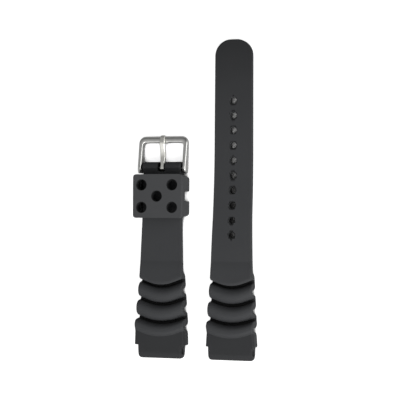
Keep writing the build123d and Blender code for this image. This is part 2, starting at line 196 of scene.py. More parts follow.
class KeeperSizes(bpy.types.PropertyGroup):
    """The moulded keeper."""

    gap: length("Gap", "From the keeper to the buckle's ears", 0.7)
    span: length("Length", "Length of the keeper's face", 21.4)
    width: length("Width", "Width of the keeper", 26.0)
    height: length("Height", "Height of the keeper", 11.0)
    tuck: length("Tuck", "How much shorter its back is at each end", 1.2)
    tunnel_width: length("Tunnel width", "Width of the tunnel", 21.9)
    tunnel_height: length("Tunnel height", "Height of the tunnel", 5.6)
    tunnel_corner: length("Tunnel corner", "Rounding of the tunnel", 0.4)
    back_wall: length("Back wall", "Thickness of the back", 1.1)
    corner: length("Corner", "Rounding of the long edges", 0.9)
    plan_corner: length("Plan corner", "Rounding of its corners from above", 1.3)
    edge: length("Edge", "Rounding of every other edge", 0.35)
    hole_radius: length("Hole radius", "Radius of a hole", 2.6)
    hole_across: length("Hole spacing", "Between holes, across", 15.8)
    hole_along: length("Hole spacing along", "Between holes, along", 11.0)
    hole_offset: length("Hole offset", "How far left the holes sit", 0.5)
    notch_length: length("Notch length", "Length of a side notch", 4.9)
    notch_depth: length("Notch depth", "Depth of a side notch", 3.0)
    notch_below: length("Notch top", "From the face down to a notch", 3.4)
    notch_corner: length("Notch corner", "Rounding of a notch", 0.9)


class BuckleSizes(bpy.types.PropertyGroup):
    """The buckle's bow and its tang."""

    ear_radius: length("Ear radius", "Radius of an ear", 2.6)
    arm: length("Arm", "Width of an arm", 2.4)
    inner_width: length("Inner width", "Between the arms", 20.8)
    window: length("Window", "From the spring bar to the far bar", 12.3)
    bar_breadth: length("Bar breadth", "Breadth of the far bar", 3.4)
    bar_thickness: length("Bar thickness", "Thickness of the far bar", 2.9)
    outer_corner: length("Outer corner", "Rounding outside", 3.4)
    inner_corner: length("Inner corner", "Rounding inside", 1.0)
    ear_hole: length("Ear hole", "Radius of the hole in an ear", 0.47)
    ear_hole_depth: length("Ear hole depth", "Depth of that hole", 1.4)
    tang_width: length("Tang width", "Width of the tang", 2.6)
    tang_neck: length("Tang neck", "Width of the tang at its roll", 2.0)
    tang_thickness: length("Tang thickness", "Thickness of the tang", 1.7)
    roll_bore: length("Roll bore", "Radius inside the tang's roll", 0.95)
    roll_wall: length("Roll wall", "Thickness of the roll", 0.7)
    dip_reach: length("Dip reach", "From the bar to the tang's dip", 7.0)
    dip_height: length("Dip height", "Middle of the tang at its dip", 2.5)
    over_bar: length("Over bar", "Gap between tang and far bar", 0.1)
    overhang: length("Overhang", "How far the tang reaches past the bar", 0.45)
    tip_drop: length("Tip drop", "How far the tip hooks down", 1.2)
    section_power: number("Section power", "Squareness of the bow, 2 for an ellipse", 2.6, 2.0)


class Finishes(bpy.types.PropertyGroup):
    """Colours of the rubber, the steel and the table."""

    strap: paint("Strap", "Rubber of both halves", (0.034, 0.035, 0.037))
    keeper: paint("Keeper", "Rubber of the keeper", (0.045, 0.046, 0.048))
    # Rubber's edge colour: worn dust, and a painted sheen where edges catch the light
    edge_dust_and_sheen: paint("Dust", "Worn rubber edges", (0.055, 0.056, 0.058))
    buckle: paint("Buckle", "Steel of the buckle", (0.56, 0.56, 0.545))
    tang: paint("Tang", "Steel of the tang", (0.74, 0.735, 0.69))
    bar: paint("Spring bar", "Steel of the spring bar", (0.55, 0.55, 0.55))
    spring: paint("Spring", "Spring wire", (0.42, 0.42, 0.43))
    table: paint("Table", "Colour of the table", (0.5, 0.5, 0.5))
    grain: number("Grain", "How strong the moulded grain is", 0.35)


class StudioSettings(bpy.types.PropertyGroup):
    """Where the camera stands, and how bright the lights are."""

    camera_tilt: angle("Camera tilt", "How far the camera leans to the right", 18.12)
    camera_pitch: angle("Camera pitch", "How far the camera leans to the front", 0.96)
    camera_roll: angle("Camera roll", "How far the camera is turned on its axis", 0.28)
    camera_distance: length("Distance", "From the camera to its target", 700.0)
    aim_x: length("Aim X", "Target across the strap", 19.49)
    aim_y: length("Aim Y", "Target along the strap", 74.17)
    lens: number("Lens", "Focal length in millimetres", 128.9, 1.0)
    key: number("Key light", "Power of the soft light over the front", 4.0)
    fill: number("Fill light", "Power of the soft light on the right", 2.8)
    sky: number("Sky", "Brightness of the room around", 0.68)
    glow: number("Glow", "How much paler the table looks than it is", 0.75)


GROUPS = {
    "strap_lug_end": LugEndSizes,
    "strap_flat": FlatSizes,
    "strap_keeper": KeeperSizes,
    "strap_buckle": BuckleSizes,
    "strap_finish": Finishes,
    "strap_studio": StudioSettings,
}

# How finely the halves are cut, along them and around a ring
TUBE_STEPS = 14
ARC_STEPS = 12
RIB_RINGS = 30
PLATEAU_RINGS = 8
NECK_RINGS = 70
LEVEL_RINGS = 8
TAIL_RINGS = 64
TIP_TURNS = [5 * i for i in range(1, 17)] + [83, 86, 88, 89.3]
ROW_STEPS = 28
EDGE_STEPS = 5
SIDE_STEPS = 4
ROUND_STEPS = 64
RIM_TURNS = (0, 30, 60, 90)

# Where rings stand on a rounding, as shares of it
SHOULDER_SHARES = (0.06, 0.2, 0.45, 1.0)
CORNER_SHARES = (0.0, 0.04, 0.16, 0.38, 0.66, 1.0)

# The run of the step at the shoulders, and the most that a ring's rounding takes
STEP_RUN = 0.02 * MM
THICKNESS_SHARE = 0.45
WIDTH_SHARE = 0.6
LEAST_SQUARENESS = 0.2

# Tones of the rubber, as shares of its colour, and how far down a side they reach: darker on the
# plateau, painted shade in the grooves and the holes, and a painted light falloff towards the tail
PLATEAU_TONE = 0.62
GROOVE_SHADE = 0.2
HOLE_SHADE = 0.3
TAIL_FALLOFF = [(75 * MM, 1.0), (110 * MM, 0.88), (130 * MM, 0.78), (150 * MM, 0.55)]
TONE_REACH = 0.4

# What each point of a half carries
LAYERS = ("bow_share", "tone")

# How finely cutters, the keeper, the bow and the tang are cut
CUTTER_STEPS = 6
SLEEVE_STEPS = 8
ARM_STEPS = 16
CORNER_STEPS = 14
SECTION_STEPS = 32
ROLL_STEPS = 30
TANG_RINGS = 90

# Bends along the buckle half, how far past the root the ribs' bow fades out, and where the
# edges start to follow the round tip, in corners back from it
ROOT_BEND, NECK_BEND = 20 * MM, 3 * MM
LEVEL_RUN = 2 * MM
TIP_ZONE_SHARE = 1.5

# The tang: its roll in degrees, its bends from the roll to the tip, its edges and taper
ROLL_SEAM, ROLL_TOP, ROLL_FRONT = -62, 90, -22
FACE_BENDS = [1.2 * MM, 7 * MM, 2.2 * MM, 0.9 * MM, 0.5 * MM]
BACK_BENDS = [7 * MM, 2 * MM, 0.3 * MM]
SLOPE_RUN = 2 * MM
SHOULDER_FALL, TIP_SETBACK, TIP_FACE_SHARE = 0.25 * MM, 0.25 * MM, 0.8
TANG_EDGE, TANG_EDGE_SHARE = 0.45 * MM, 0.42
WIDE_RUN, TAPER_RUN = 1 * MM, 0.6 * MM
TAPER_SHARE, TIP_SHARE = 0.94, 0.72

# How far cutters reach past what they cut, in flares for a bore, and how high punches start
BORE_REACH = 4
STRAP_PUNCH_REACH = 6 * MM
KEEPER_PUNCH_RIM = 0.2 * MM
KEEPER_PUNCH_DEPTH = 4 * MM
KEEPER_PUNCH_REACH = 1.5 * MM
DROP_HEIGHT = 50 * MM

# Angles in degrees past which an edge stays sharp, and past which the keeper's is rounded
STRAP_SHARP, KEEPER_SHARP, BOW_SHARP, TANG_SHARP = 38, 60, 45, 50
BEVEL_ANGLE = 40
BEVEL_STEPS = 3

# Directions
RIGHT = (1.0, 0.0, 0.0)
DOWN = (0.0, 0.0, -1.0)

# What the finish groups put out, and ranges as from, to, result from, result to
FINISH_OUTPUTS = [
    ("Colour", "NodeSocketColor"),
    ("Roughness", "NodeSocketFloat"),
    ("Height", "NodeSocketFloat"),
]
# Ranges of the edge mask, which paints scuffed edges and a painted sheen where edges catch the light
SCUFF_AND_SHEEN_BY_TURN = (0.995, 0.85, 0.0, 1.0)
SCUFF_AND_SHEEN_BY_NOISE = (0.35, 0.65, 0.3, 1.0)
SHADE_BY_SMEAR = (0.3, 0.7, 0.9, 1.05)

# Numbers of the rubber and the steel
RUBBER_ROUGHNESS = 0.6
GRAIN_DEPTH = 0.03 * MM
# The steel's edge colour: scuffed wear, and a painted highlight where edges catch the light
BRIGHT_EDGE = (0.85, 0.85, 0.84, 1.0)
STEEL_EDGE, STEEL_SCUFF_AND_SHEEN = 0.25 * MM, 0.5
LINE_STRENGTH, LINE_DEPTH = 0.03, 0.01 * MM

# The table: its size, how far it looks around, and its shade and glow by how open it lies
TABLE_HALF = 1.5
TABLE_GAP = 0.01 * MM
TABLE_REACH = 6.5 * MM
TABLE_SHADE = (0.14, 0.38, 0.05, 1.0)
TABLE_GLOW = (0.32, 0.42, 0.0, 1.0)

# The lights, and the room's brightness by direction, as ranges again
KEY_STAND, KEY_SIZE = (0.2, -0.42, 0.44), (0.6, 0.45)
SIDE_STAND, SIDE_SIZE = (0.55, 0.12, 0.25), (0.7, 0.45)
LIGHT_BY_HEIGHT = (0.0, 0.9, 0.3, 1.25)
LIGHT_TO_FRONT = (0.7, -0.7, 0.3, 1.3)
LIGHT_TO_LEFT = (0.8, -0.8, 0.55, 1.3)

# The camera's sensor in millimetres, and the nearest that it sees
SENSOR_WIDTH = 36.0
NEAREST_SEEN = 10 * MM


# Side views


def arc(middle, radius, start, end, steps=ARC_STEPS):
    """Points along an arc, from one angle to another in degrees."""
    turns = [radians(start + (end - start) * i / steps) for i in range(steps + 1)]
    return [(middle[0] + radius * cos(t), middle[1] + radius * sin(t)) for t in turns]


def spread(path, count):
    """count + 1 points at even distances along a path."""
    runs = [hypot(b[0] - a[0], b[1] - a[1]) for a, b in zip(path, path[1:])]
    total, points = sum(runs), []
    for step in range(count + 1):
        rest, i = total * step / count, 0
        while i < len(runs) - 1 and rest > runs[i]:
            rest -= runs[i]
            i += 1
        part = min(rest / runs[i], 1.0) if runs[i] > 0 else 0.0
        a, b = path[i], path[i + 1]
        points.append((a[0] + (b[0] - a[0]) * part, a[1] + (b[1] - a[1]) * part))
    return points


def matched(face, back, count):
    """Pairs of points on the face and the back, without the first pair."""
    return list(zip(spread(face, count), spread(back, count)))[1:]


def rounded_path(points, radii):
    """A path with each inner corner rounded by its radius."""
    path = [points[0]]
    for before, corner, after, radius in zip(points, points[1:], points[2:], radii):
        into = (Vector(corner) - Vector(before)).normalized()
        out = (Vector(after) - Vector(corner)).normalized()
        turn = into.angle(out)
        setback = radius * sin(turn / 2) / cos(turn / 2)
        start = Vector(corner) - into * setback
        end = Vector(corner) + out * setback
        for i in range(ARC_STEPS + 1):
            t = i / ARC_STEPS
            a = start.lerp(Vector(corner), t)
            b = Vector(corner).lerp(end, t)
            path.append(tuple(a.lerp(b, t)))
    path.append(points[-1])
    return path


def ease(t):
    """0 to 1 along a smooth S of two equal parts."""
    t = min(max(t, 0.0), 1.0)
    return 2 * t * t if t < 0.5 else 1 - 2 * (1 - t) ** 2


def between(table, place):
    """A value read from (place, value) rows, straight between them."""
    for (a, va), (b, vb) in zip(table, table[1:]):
        if place <= b:
            return va + (vb - va) * max(place - a, 0.0) / (b - a)
    return table[-1][1]


def lip(distance, radius):
    """How far a round edge has fallen at a distance from its outline."""
    short = max(radius - max(distance, 0.0), 0.0)
    return radius - sqrt(max(radius * radius - short * short, 0.0))


# Bellows and plan of a half


def last_groove(lug):
    """Place of the groove next to the lug."""
    return lug.first_groove - (lug.groove_count - 1) * lug.pitch


def last_crest(lug):
    """Place of the crest next to the lug, where the crests are highest."""
    return last_groove(lug) - lug.groove_half - lug.rib_rise


def crest(lug, flat, y):
    """Height of the rib crests."""
    fall = (lug.block_height - lug.root_height - flat.thickness) / (lug.root_top - last_crest(lug))
    return lug.block_height - fall * max(y - last_crest(lug), 0.0)


def groove_places(lug):
    """Places of all the grooves, from the lug's on."""
    return [last_groove(lug) + i * lug.pitch for i in range(lug.groove_count)]


def bow_radius(lug, y):
    """Radius of the bow that a groove at y has in plan."""
    low, high = last_groove(lug), lug.first_groove
    rows = [(low, lug.bow_lug), (high - lug.pitch, lug.bow_middle), (high, lug.bow_flat)]
    return between(rows, y)


def bow(lug, y, x):
    """How far the bow carries a point at x towards the flat."""
    radius = bow_radius(lug, y)
    bend = min(abs(x), radius * sin(lug.bow_limit))
    rest = abs(x) - bend
    return radius - sqrt(radius * radius - bend * bend) + rest * tan(lug.bow_limit)


def squarer(value, power):
    """A cosine or sine moved outwards, onto an oval that is squarer past a power of 2."""
    return (1 if value >= 0 else -1) * abs(value) ** (2 / power)


def oval(middle, size, start, end, power=2.0):
    """Points along an upright oval's quarter, from one angle to another in degrees."""
    points = []
    for x, y in arc((0.0, 0.0), 1.0, start, end, RIB_RINGS):
        across, up = squarer(x, power), squarer(y, power)
        points.append((middle[0] + across * size[0], middle[1] + up * size[1]))
    return points


def into_groove(lug, flat, g):
    """Face from a rib's crest down its rise to the floor of groove g."""
    bed = lug.groove_floor + lug.groove_half
    wall = g - lug.groove_half
    top = crest(lug, flat, wall - lug.rib_rise)
    powers = [(last_groove(lug), lug.rise_power_lug), (lug.first_groove, lug.rise_power_flat)]
    size = (lug.rib_rise, top - bed)
    rise = oval((wall - lug.rib_rise, bed), size, 90, 0, between(powers, g))
    return rise + arc((g, bed), lug.groove_half, 180, 270)


def out_of_groove(lug, flat, g):
    """Face from the floor of groove g up to the next crest, or to the flat's lip."""
    bed = lug.groove_floor + lug.groove_half
    wall = g + lug.groove_half
    floor = arc((g, bed), lug.groove_half, 270, 360)
    if g < lug.first_groove:
        run = lug.pitch - 2 * lug.groove_half - lug.rib_rise
        top = crest(lug, flat, wall + run)
        return floor + oval((wall + run, bed), (run, top - bed), 180, 90)
    top = crest(lug, flat, wall + lug.flat_lip)
    foot = top - lug.flat_lip_fall
    return floor + oval((wall + lug.flat_lip, foot), (lug.flat_lip, lug.flat_lip_fall), 180, 90)


def into_notch(lug, n):
    """Back from the table up the lug side of notch n to its ceiling."""
    wall = n - lug.notch_half
    foot = arc((wall - lug.notch_lip, lug.notch_lip), lug.notch_lip, -90, 0)
    return foot + arc((n, lug.notch_ceiling - lug.notch_half), lug.notch_half, 180, 90)


def out_of_notch(lug, n):
    """Back from the ceiling of notch n down its other side to the table."""
    wall = n + lug.notch_half
    top = arc((n, lug.notch_ceiling - lug.notch_half), lug.notch_half, 90, 0)
    return top + arc((wall + lug.notch_lip, lug.notch_lip), lug.notch_lip, 180, 270)


def split(path, y):
    """A path cut in two where it first passes y."""
    for i, (a, b) in enumerate(zip(path, path[1:])):
        if a[0] <= y < b[0]:
            part = (y - a[0]) / (b[0] - a[0])
            middle = (y, a[1] + (b[1] - a[1]) * part)
            return path[: i + 1] + [middle], [middle] + path[i + 1 :]
    raise ValueError("the path does not pass %.5f" % y)


def lug_end_pairs(lug, flat):
    """Pairs of points on the face and the back, from the lug's nose to the flat."""
    r, line = lug.lug_radius, lug.block_line
    foot = lug.block_height - lug.block_fall
    plateau = foot - lug.block_step
    slope = (plateau - 2 * r) / line
    pairs = []
    for i in range(TUBE_STEPS + 1):
        turn = radians(180 - 90 * i / TUBE_STEPS)
        y, rise = r * cos(turn), r * sin(turn)
        pairs.append(((y, r + rise), (y, r - rise)))
    end, corner = lug.shoulder_end, lug.shoulder_corner
    places = [end / 3, end * 2 / 3, end - STEP_RUN, end]
    places += [end + corner * part for part in SHOULDER_SHARES]
    for y in places:
        pairs.append(((y, 2 * r + slope * y), (y, 0.0)))
    notches = [g - lug.notch_reach for g in groove_places(lug)]
    mouth = notches[0] - lug.notch_half - lug.notch_lip
    last = (y, 2 * r + slope * y)
    pairs += matched([last, (line, plateau)], [(y, 0.0), (mouth, 0.0)], PLATEAU_RINGS)
    step_end = line + lug.block_step
    climb = []
    for i in range(ARC_STEPS + 1):
        y = step_end + (last_crest(lug) - step_end) * i / ARC_STEPS
        climb.append((y, foot + lug.block_fall * ease(i / ARC_STEPS)))
    top = [(line, plateau)] + climb + into_groove(lug, flat, last_groove(lug))[1:]
    lug_side, face = split(top, notches[0])
    pairs += matched(lug_side, into_notch(lug, notches[0]), RIB_RINGS)
    for g, notch, after in zip(groove_places(lug), notches, notches[1:] + [None]):
        pairs += matched(face, out_of_notch(lug, notch) + [(g, 0.0)], RIB_RINGS)
        rise = out_of_groove(lug, flat, g)
        if after is not None:
            rise += into_groove(lug, flat, g + lug.pitch)[1:]
            rise, face = split(rise, after)
            pairs += matched(rise, [(g, 0.0)] + into_notch(lug, after), RIB_RINGS)
    h = lug.root_height
    face_stop = lug.bulge_end + (lug.root_top - lug.bulge_end) / 3
    rise.append((face_stop, crest(lug, flat, face_stop)))
    back = [(lug.first_groove, 0.0)] + arc((lug.bulge_end - h, h), h, -90, 0)
    return pairs + matched(rise, back, RIB_RINGS + ARC_STEPS)


def bow_shares(lug, pair):
    """How much of the bow the face and the back of a pair take."""
    shares = []
    fades = (
        (lug.first_groove + lug.groove_half + lug.flat_lip, lug.root_top + LEVEL_RUN),
        (lug.first_groove - lug.notch_lip, lug.bulge_end),
    )
    for (y, _), (fade_start, fade_end) in zip(pair, fades):
        rise = (y - lug.shoulder_end) / (lug.block_line - lug.shoulder_end)
        fall = (fade_end - y) / (fade_end - fade_start)
        shares.append(min(max(rise, 0.0), 1.0) * ease(fall))
    return shares


def pulls(lug, pair):
    """How far the sides draw in at the face and at the back of a pair."""
    face_y, back_y = pair[0][0], pair[1][0]
    near_groove = min(abs(face_y - g) for g in groove_places(lug))
    near_notch = min(abs(back_y - g + lug.notch_reach) for g in groove_places(lug))
    groove = 1 - ease((near_groove - lug.groove_half / 2) / (lug.rib_rise / 3))
    notch = 1 - ease((near_notch - lug.notch_half / 2) / lug.notch_lip)
    return lug.groove_pull * groove, lug.notch_pull * notch


def tone_at(lug, pair, part):
    """Tone of the face: darker on the plateau, painted shade in the grooves, and a painted light
    falloff darker to the tail.
    """
    y, height = pair[0]
    if part > TONE_REACH:
        return 1.0
    if y < lug.block_line + STEP_RUN:
        return PLATEAU_TONE
    # Painted light falloff: the tail is darker the further out it lies
    if y > lug.root_top:
        return between(TAIL_FALLOFF, y)
    # Painted shade: the deeper down a groove, the darker
    rows = [(last_groove(lug), lug.dark_depth_lug), (lug.first_groove, lug.dark_depth_flat)]
    deep = 1.0 - (height - lug.groove_floor) / between(rows, y)
    return 1.0 - (1.0 - GROOVE_SHADE) * min(max(deep, 0.0), 1.0)


class Plan:
    """Plan outline of a half: its half width at each place along it."""

    def __init__(self, lug, wings, tube_edge, root, places, tip, tip_corner, tip_zone):
        half = lug.lug_width / 2
        self.tube_edge = tube_edge
        self.start, self.tip, self.tip_zone = -lug.lug_radius, tip, tip_zone
        self.nose_corner, self.tip_corner = lug.lug_corner, tip_corner
        self.shoulder, self.shoulder_corner = lug.shoulder_end, lug.shoulder_corner
        self.lug_half = half
        self.rows = [
            (lug.shoulder_end, half + wings[0]),
            (lug.shoulder_root, half + wings[1]),
            (lug.rib_start, half + wings[2]),
            (lug.bulge_end, root / 2),
        ] + places

    def half_width(self, y):
        """Half width at a place, drawn in at the tube's nose and at the tip."""
        if y < self.shoulder - STEP_RUN / 2:
            wide = self.lug_half
        else:
            past = y - self.shoulder
            wide = between(self.rows, y) - lip(past, self.shoulder_corner)
        wide -= lip(y - self.start, self.nose_corner)
        return wide - lip(self.tip - y, self.tip_corner)

    def edge_distance(self, x, y):
        """Distance in plan from a point to the outline, near the tip as well."""
        wide = self.rows[-1][1]
        over_x = abs(x) - (wide - self.tip_corner)
        over_y = y - (self.tip - self.tip_corner)
        if over_x > 0 and over_y > 0:
            return self.tip_corner - hypot(over_x, over_y)
        return min(self.half_width(y) - abs(x), self.tip - y)

    def squareness(self, y):
        """How squarely the outline's side faces outwards, from 1 down to 0."""
        over = max(y - (self.tip - self.tip_corner), 0.0) / self.tip_corner
        return sqrt(max(1 - over * over, 0.0))


def edge_radius(lug, flat, plan, pair):
    """Rounding of a ring's long edges."""
    rows = [
        (lug.shoulder_end - STEP_RUN, plan.tube_edge),
        (lug.shoulder_end, flat.rib_edge),
        (lug.first_groove + lug.groove_half, flat.rib_edge),
        (lug.bulge_end, flat.edge),
    ]
    thick = hypot(pair[0][0] - pair[1][0], pair[0][1] - pair[1][1])
    return min(between(rows, pair[0][0]), thick * THICKNESS_SHARE)


def ring_route():
    """(kind, value) steps around the right half of a ring, from face to back."""
    route = [("face", i / (ROW_STEPS // 2)) for i in range(ROW_STEPS // 2 + 1)]
    route += [("upper", 90 * i / EDGE_STEPS) for i in range(1, EDGE_STEPS + 1)]
    route += [("side", i / (SIDE_STEPS + 1)) for i in range(1, SIDE_STEPS + 1)]
    route += [("lower", 90 - 90 * i / EDGE_STEPS) for i in range(EDGE_STEPS)]
    return route + [("back", 1 - i / (ROW_STEPS // 2)) for i in range(ROW_STEPS // 2 + 1)]


def half_ring(lug, plan, pair, shares, radius):
    """(x, y, height, share of the bow, tone) around the right half of one ring."""
    face_pull, back_pull = pulls(lug, pair)
    face, back = Vector(pair[0]), Vector(pair[1])
    thick = (face - back).length
    square = max(plan.squareness(face.x), LEAST_SQUARENESS)
    run = min(radius / square, WIDTH_SHARE * plan.half_width(face.x))
    points = []
    for kind, value in ring_route():
        if kind in ("face", "upper"):
            part = 0.0
        elif kind == "side":
            part = (radius + (thick - 2 * radius) * value) / max(thick, MERGE)
        else:
            part = 1.0
        y = face.x + (back.x - face.x) * part
        bowed = shares[0] + (shares[1] - shares[0]) * part
        wide = plan.half_width(y)
        if bowed > 0:
            wide = plan.half_width(y + bowed * bow(lug, y, wide))
        wide -= face_pull * (1 - part) ** 2 + back_pull * part * part
        if kind in ("face", "back"):
            x = (wide - run) * value
            drop = lip(plan.edge_distance(x, y), radius) if y > plan.tip_zone else 0
        elif kind == "side":
            x, drop = wide, 0.0
        else:
            x = wide - run * (1 - sin(radians(value)))
            drop = radius * (1 - cos(radians(value)))
            if y > plan.tip_zone:
                drop = lip(plan.edge_distance(x, y), radius)
        if kind in ("face", "upper"):
            part = min(drop / max(thick, MERGE), 0.5)
        elif kind in ("back", "lower"):
            part = max(1 - drop / max(thick, MERGE), 0.5)
        point = face.lerp(back, part)
        points.append((x, point.x, point.y, bowed, tone_at(lug, pair, part)))
    return points


def skin(name, bm, loops, capped=(0, -1)):
    """An object over rings of points, with a face on each of the capped rings."""
    for one, two in zip(loops, loops[1:]):
        for i in range(len(one)):
            j = (i + 1) % len(one)
            bm.faces.new((one[i], one[j], two[j], two[i]))
    for ring in capped:
        bm.faces.new(loops[ring])
    bmesh.ops.remove_doubles(bm, verts=bm.verts, dist=MERGE)
    bmesh.ops.recalc_face_normals(bm, faces=bm.faces)
    mesh = bpy.data.meshes.new(name)
    bm.to_mesh(mesh)
    bm.free()
    return place(name, mesh)


def loft(name, rings, middle, capped):
    """An object through rings of right-hand points, mirrored to the left."""
    bm = bmesh.new()
    layers = [bm.verts.layers.float.new(layer) for layer in LAYERS]
    loops = []
    for ring in rings:
        left = [(-x, *rest) for x, *rest in reversed(ring[1:-1])]
        loop = []
        for x, y, h, *values in ring + left:
            vert = bm.verts.new((middle + x, y, TABLE + h))
            for layer, value in zip(layers, values):
                vert[layer] = value
            loop.append(vert)
        loops.append(loop)
    return skin(name, bm, loops, capped)


def place(name, mesh):
    """A new object at the origin that shows a mesh."""
    piece = bpy.data.objects.new(name, mesh)
    bpy.context.scene.collection.objects.link(piece)
    return piece


def bake(piece):
    """Turns a piece and its modifiers into a plain mesh."""
    graph = bpy.context.evaluated_depsgraph_get()
    mesh = bpy.data.meshes.new_from_object(
        piece.evaluated_get(graph), preserve_all_data_layers=True, depsgraph=graph
    )
    piece.modifiers.clear()
    old = piece.data
    piece.data = mesh
    mesh.name = piece.name
    bpy.data.meshes.remove(old)


def give_tone(piece, value):
    """Gives a whole piece one tone."""
    layer = piece.data.attributes.new("tone", "FLOAT", "FACE")
    layer.data.foreach_set("value", [value] * len(piece.data.polygons))


def give_hole_tone(piece, radius):
    """Tone of a punch's points: painted shade, dark inside a radius, and 1 outside it."""
    layer = piece.data.attributes.new("tone", "FLOAT", "POINT")
    values = [1.0 if hypot(v.co.x, v.co.y) > radius else HOLE_SHADE for v in piece.data.vertices]
    layer.data.foreach_set("value", values)


def remove(piece):
    """Deletes a helper object and its mesh."""
    mesh = piece.data
    bpy.data.objects.remove(piece)
    bpy.data.meshes.remove(mesh)


def cut(piece, *cutters):
    """Takes each cutter out of a piece, and deletes the cutters."""
    for cutter in cutters:
        step = piece.modifiers.new("Cut", "BOOLEAN")
        step.object = cutter
        step.operation = "DIFFERENCE"
        step.solver = "EXACT"
    bake(piece)
    for cutter in cutters:
        remove(cutter)


def soften(piece, degrees):
    """Smooth shading, with flat faces kept flat and edges over an angle kept sharp."""
    piece.data.shade_smooth()
    piece.data.set_sharp_from_angle(angle=radians(degrees))
    step = piece.modifiers.new("Flat faces", "WEIGHTED_NORMAL")
    step.keep_sharp = True
    bake(piece)


def round_edges(piece, width):
    """Rounds every edge that turns by more than the bevel's angle."""
    step = piece.modifiers.new("Round edges", "BEVEL")
    step.width = width
    step.segments = BEVEL_STEPS
    step.limit_method = "ANGLE"
    step.angle_limit = radians(BEVEL_ANGLE)
    step.use_clamp_overlap = True
    bake(piece)


def lathe(name, outline, along, middle):
    """A closed round cutter: (distance along, radius) rows turned about an axis."""
    bm = bmesh.new()
    side = Vector((0, 0, 1)) if abs(along.z) < 0.5 else Vector((1, 0, 0))
    other = along.cross(side)
    turns = [radians(360 * i / ROUND_STEPS) for i in range(ROUND_STEPS)]
    loops = []
    for distance, radius in outline:
        spokes = [(side * cos(t) + other * sin(t)) * radius for t in turns]
        loops.append([bm.verts.new(middle + along * distance + spoke) for spoke in spokes])
    return skin(name, bm, loops)


def prism(name, outline, low, high):
    """A closed upright cutter on a plan outline, between two Z."""
    bm = bmesh.new()
    loops = [[bm.verts.new((x, y, z)) for x, y in outline] for z in (low, high)]
    return skin(name, bm, loops)


def rounded_rectangle(middle, size, radius, steps=CUTTER_STEPS):
    """Plan points of a rectangle with round corners."""
    points = []
    half_x, half_y = size[0] / 2 - radius, size[1] / 2 - radius
    corners = ((1, 1, 0), (-1, 1, 90), (-1, -1, 180), (1, -1, 270))
    for side_x, side_y, start in corners:
        corner = (middle[0] + side_x * half_x, middle[1] + side_y * half_y)
        points += arc(corner, radius, start, start + 90, steps)
    return points


def bore(name, middle, along, half, radius, flare):
    """A cutter for a through bore whose mouths flare by a small rounding."""
    mouth = []
    for turn in reversed(RIM_TURNS):
        distance = half - flare * (1 - cos(radians(turn)))
        mouth.append((distance, radius + flare * (1 - sin(radians(turn)))))
    mouth.append((half + flare * BORE_REACH, radius + flare))
    rows = [(-distance, wide) for distance, wide in reversed(mouth)] + mouth
    return lathe(name, rows, along, middle)


# Node trees, and the nodes in them


def new_tree(name, kind, inputs, outputs):
    """A node tree with named sockets, and its input and output nodes."""
    tree = bpy.data.node_groups.new(name, kind)
    for socket, socket_kind, default in inputs:
        made = tree.interface.new_socket(name=socket, in_out="INPUT", socket_type=socket_kind)
        if default is not None:
            made.default_value = default
    for socket, socket_kind in outputs:
        tree.interface.new_socket(name=socket, in_out="OUTPUT", socket_type=socket_kind)
    start = tree.nodes.new("NodeGroupInput")
    end = tree.nodes.new("NodeGroupOutput")
    return tree, start.outputs, end.inputs


def node(tree, kind, links=None, **settings):
    """A node with its settings, and its inputs linked or set by name or number."""
    made = tree.nodes.new(kind)
    for key, value in settings.items():
        setattr(made, key, value)
    for key, value in (links or {}).items():
        if isinstance(value, bpy.types.NodeSocket):
            tree.links.new(value, made.inputs[key])
        else:
            made.inputs[key].default_value = value
    return made


def sums(tree, operation, a, b=None):
    """One Math node's result."""
    links = {0: a} if b is None else {0: a, 1: b}
    return node(tree, "ShaderNodeMath", links, operation=operation).outputs[0]


def spread_value(tree, value, low, high, out_low, out_high):
    """One Map Range node's result, kept inside its range."""
    links = {0: value, 1: low, 2: high, 3: out_low, 4: out_high}
    return node(tree, "ShaderNodeMapRange", links).outputs[0]


def noise(tree, where, scale, detail):
    """One noise pattern's value."""
    links = {"Vector": where, "Scale": scale, "Detail": detail}
    return node(tree, "ShaderNodeTexNoise", links).outputs[0]


def scaled(tree, colour, amount):
    """A colour made lighter or darker."""
    links = {0: colour, "Scale": amount}
    return node(tree, "ShaderNodeVectorMath", links, operation="SCALE").outputs[0]


def found_or_built(name, build):
    """A node tree that is built the first time and found again by name."""
    return bpy.data.node_groups.get(name) or build(name)


# Geometry node trees


def end_tree(tree, geometry, given, result):
    """Ends a geometry tree: real geometry, in the material that is given."""
    real = node(tree, "GeometryNodeRealizeInstances", {0: geometry}).outputs[0]
    links = {0: real, "Material": given["Material"]}
    tree.links.new(node(tree, "GeometryNodeSetMaterial", links).outputs[0], result[0])
    return tree


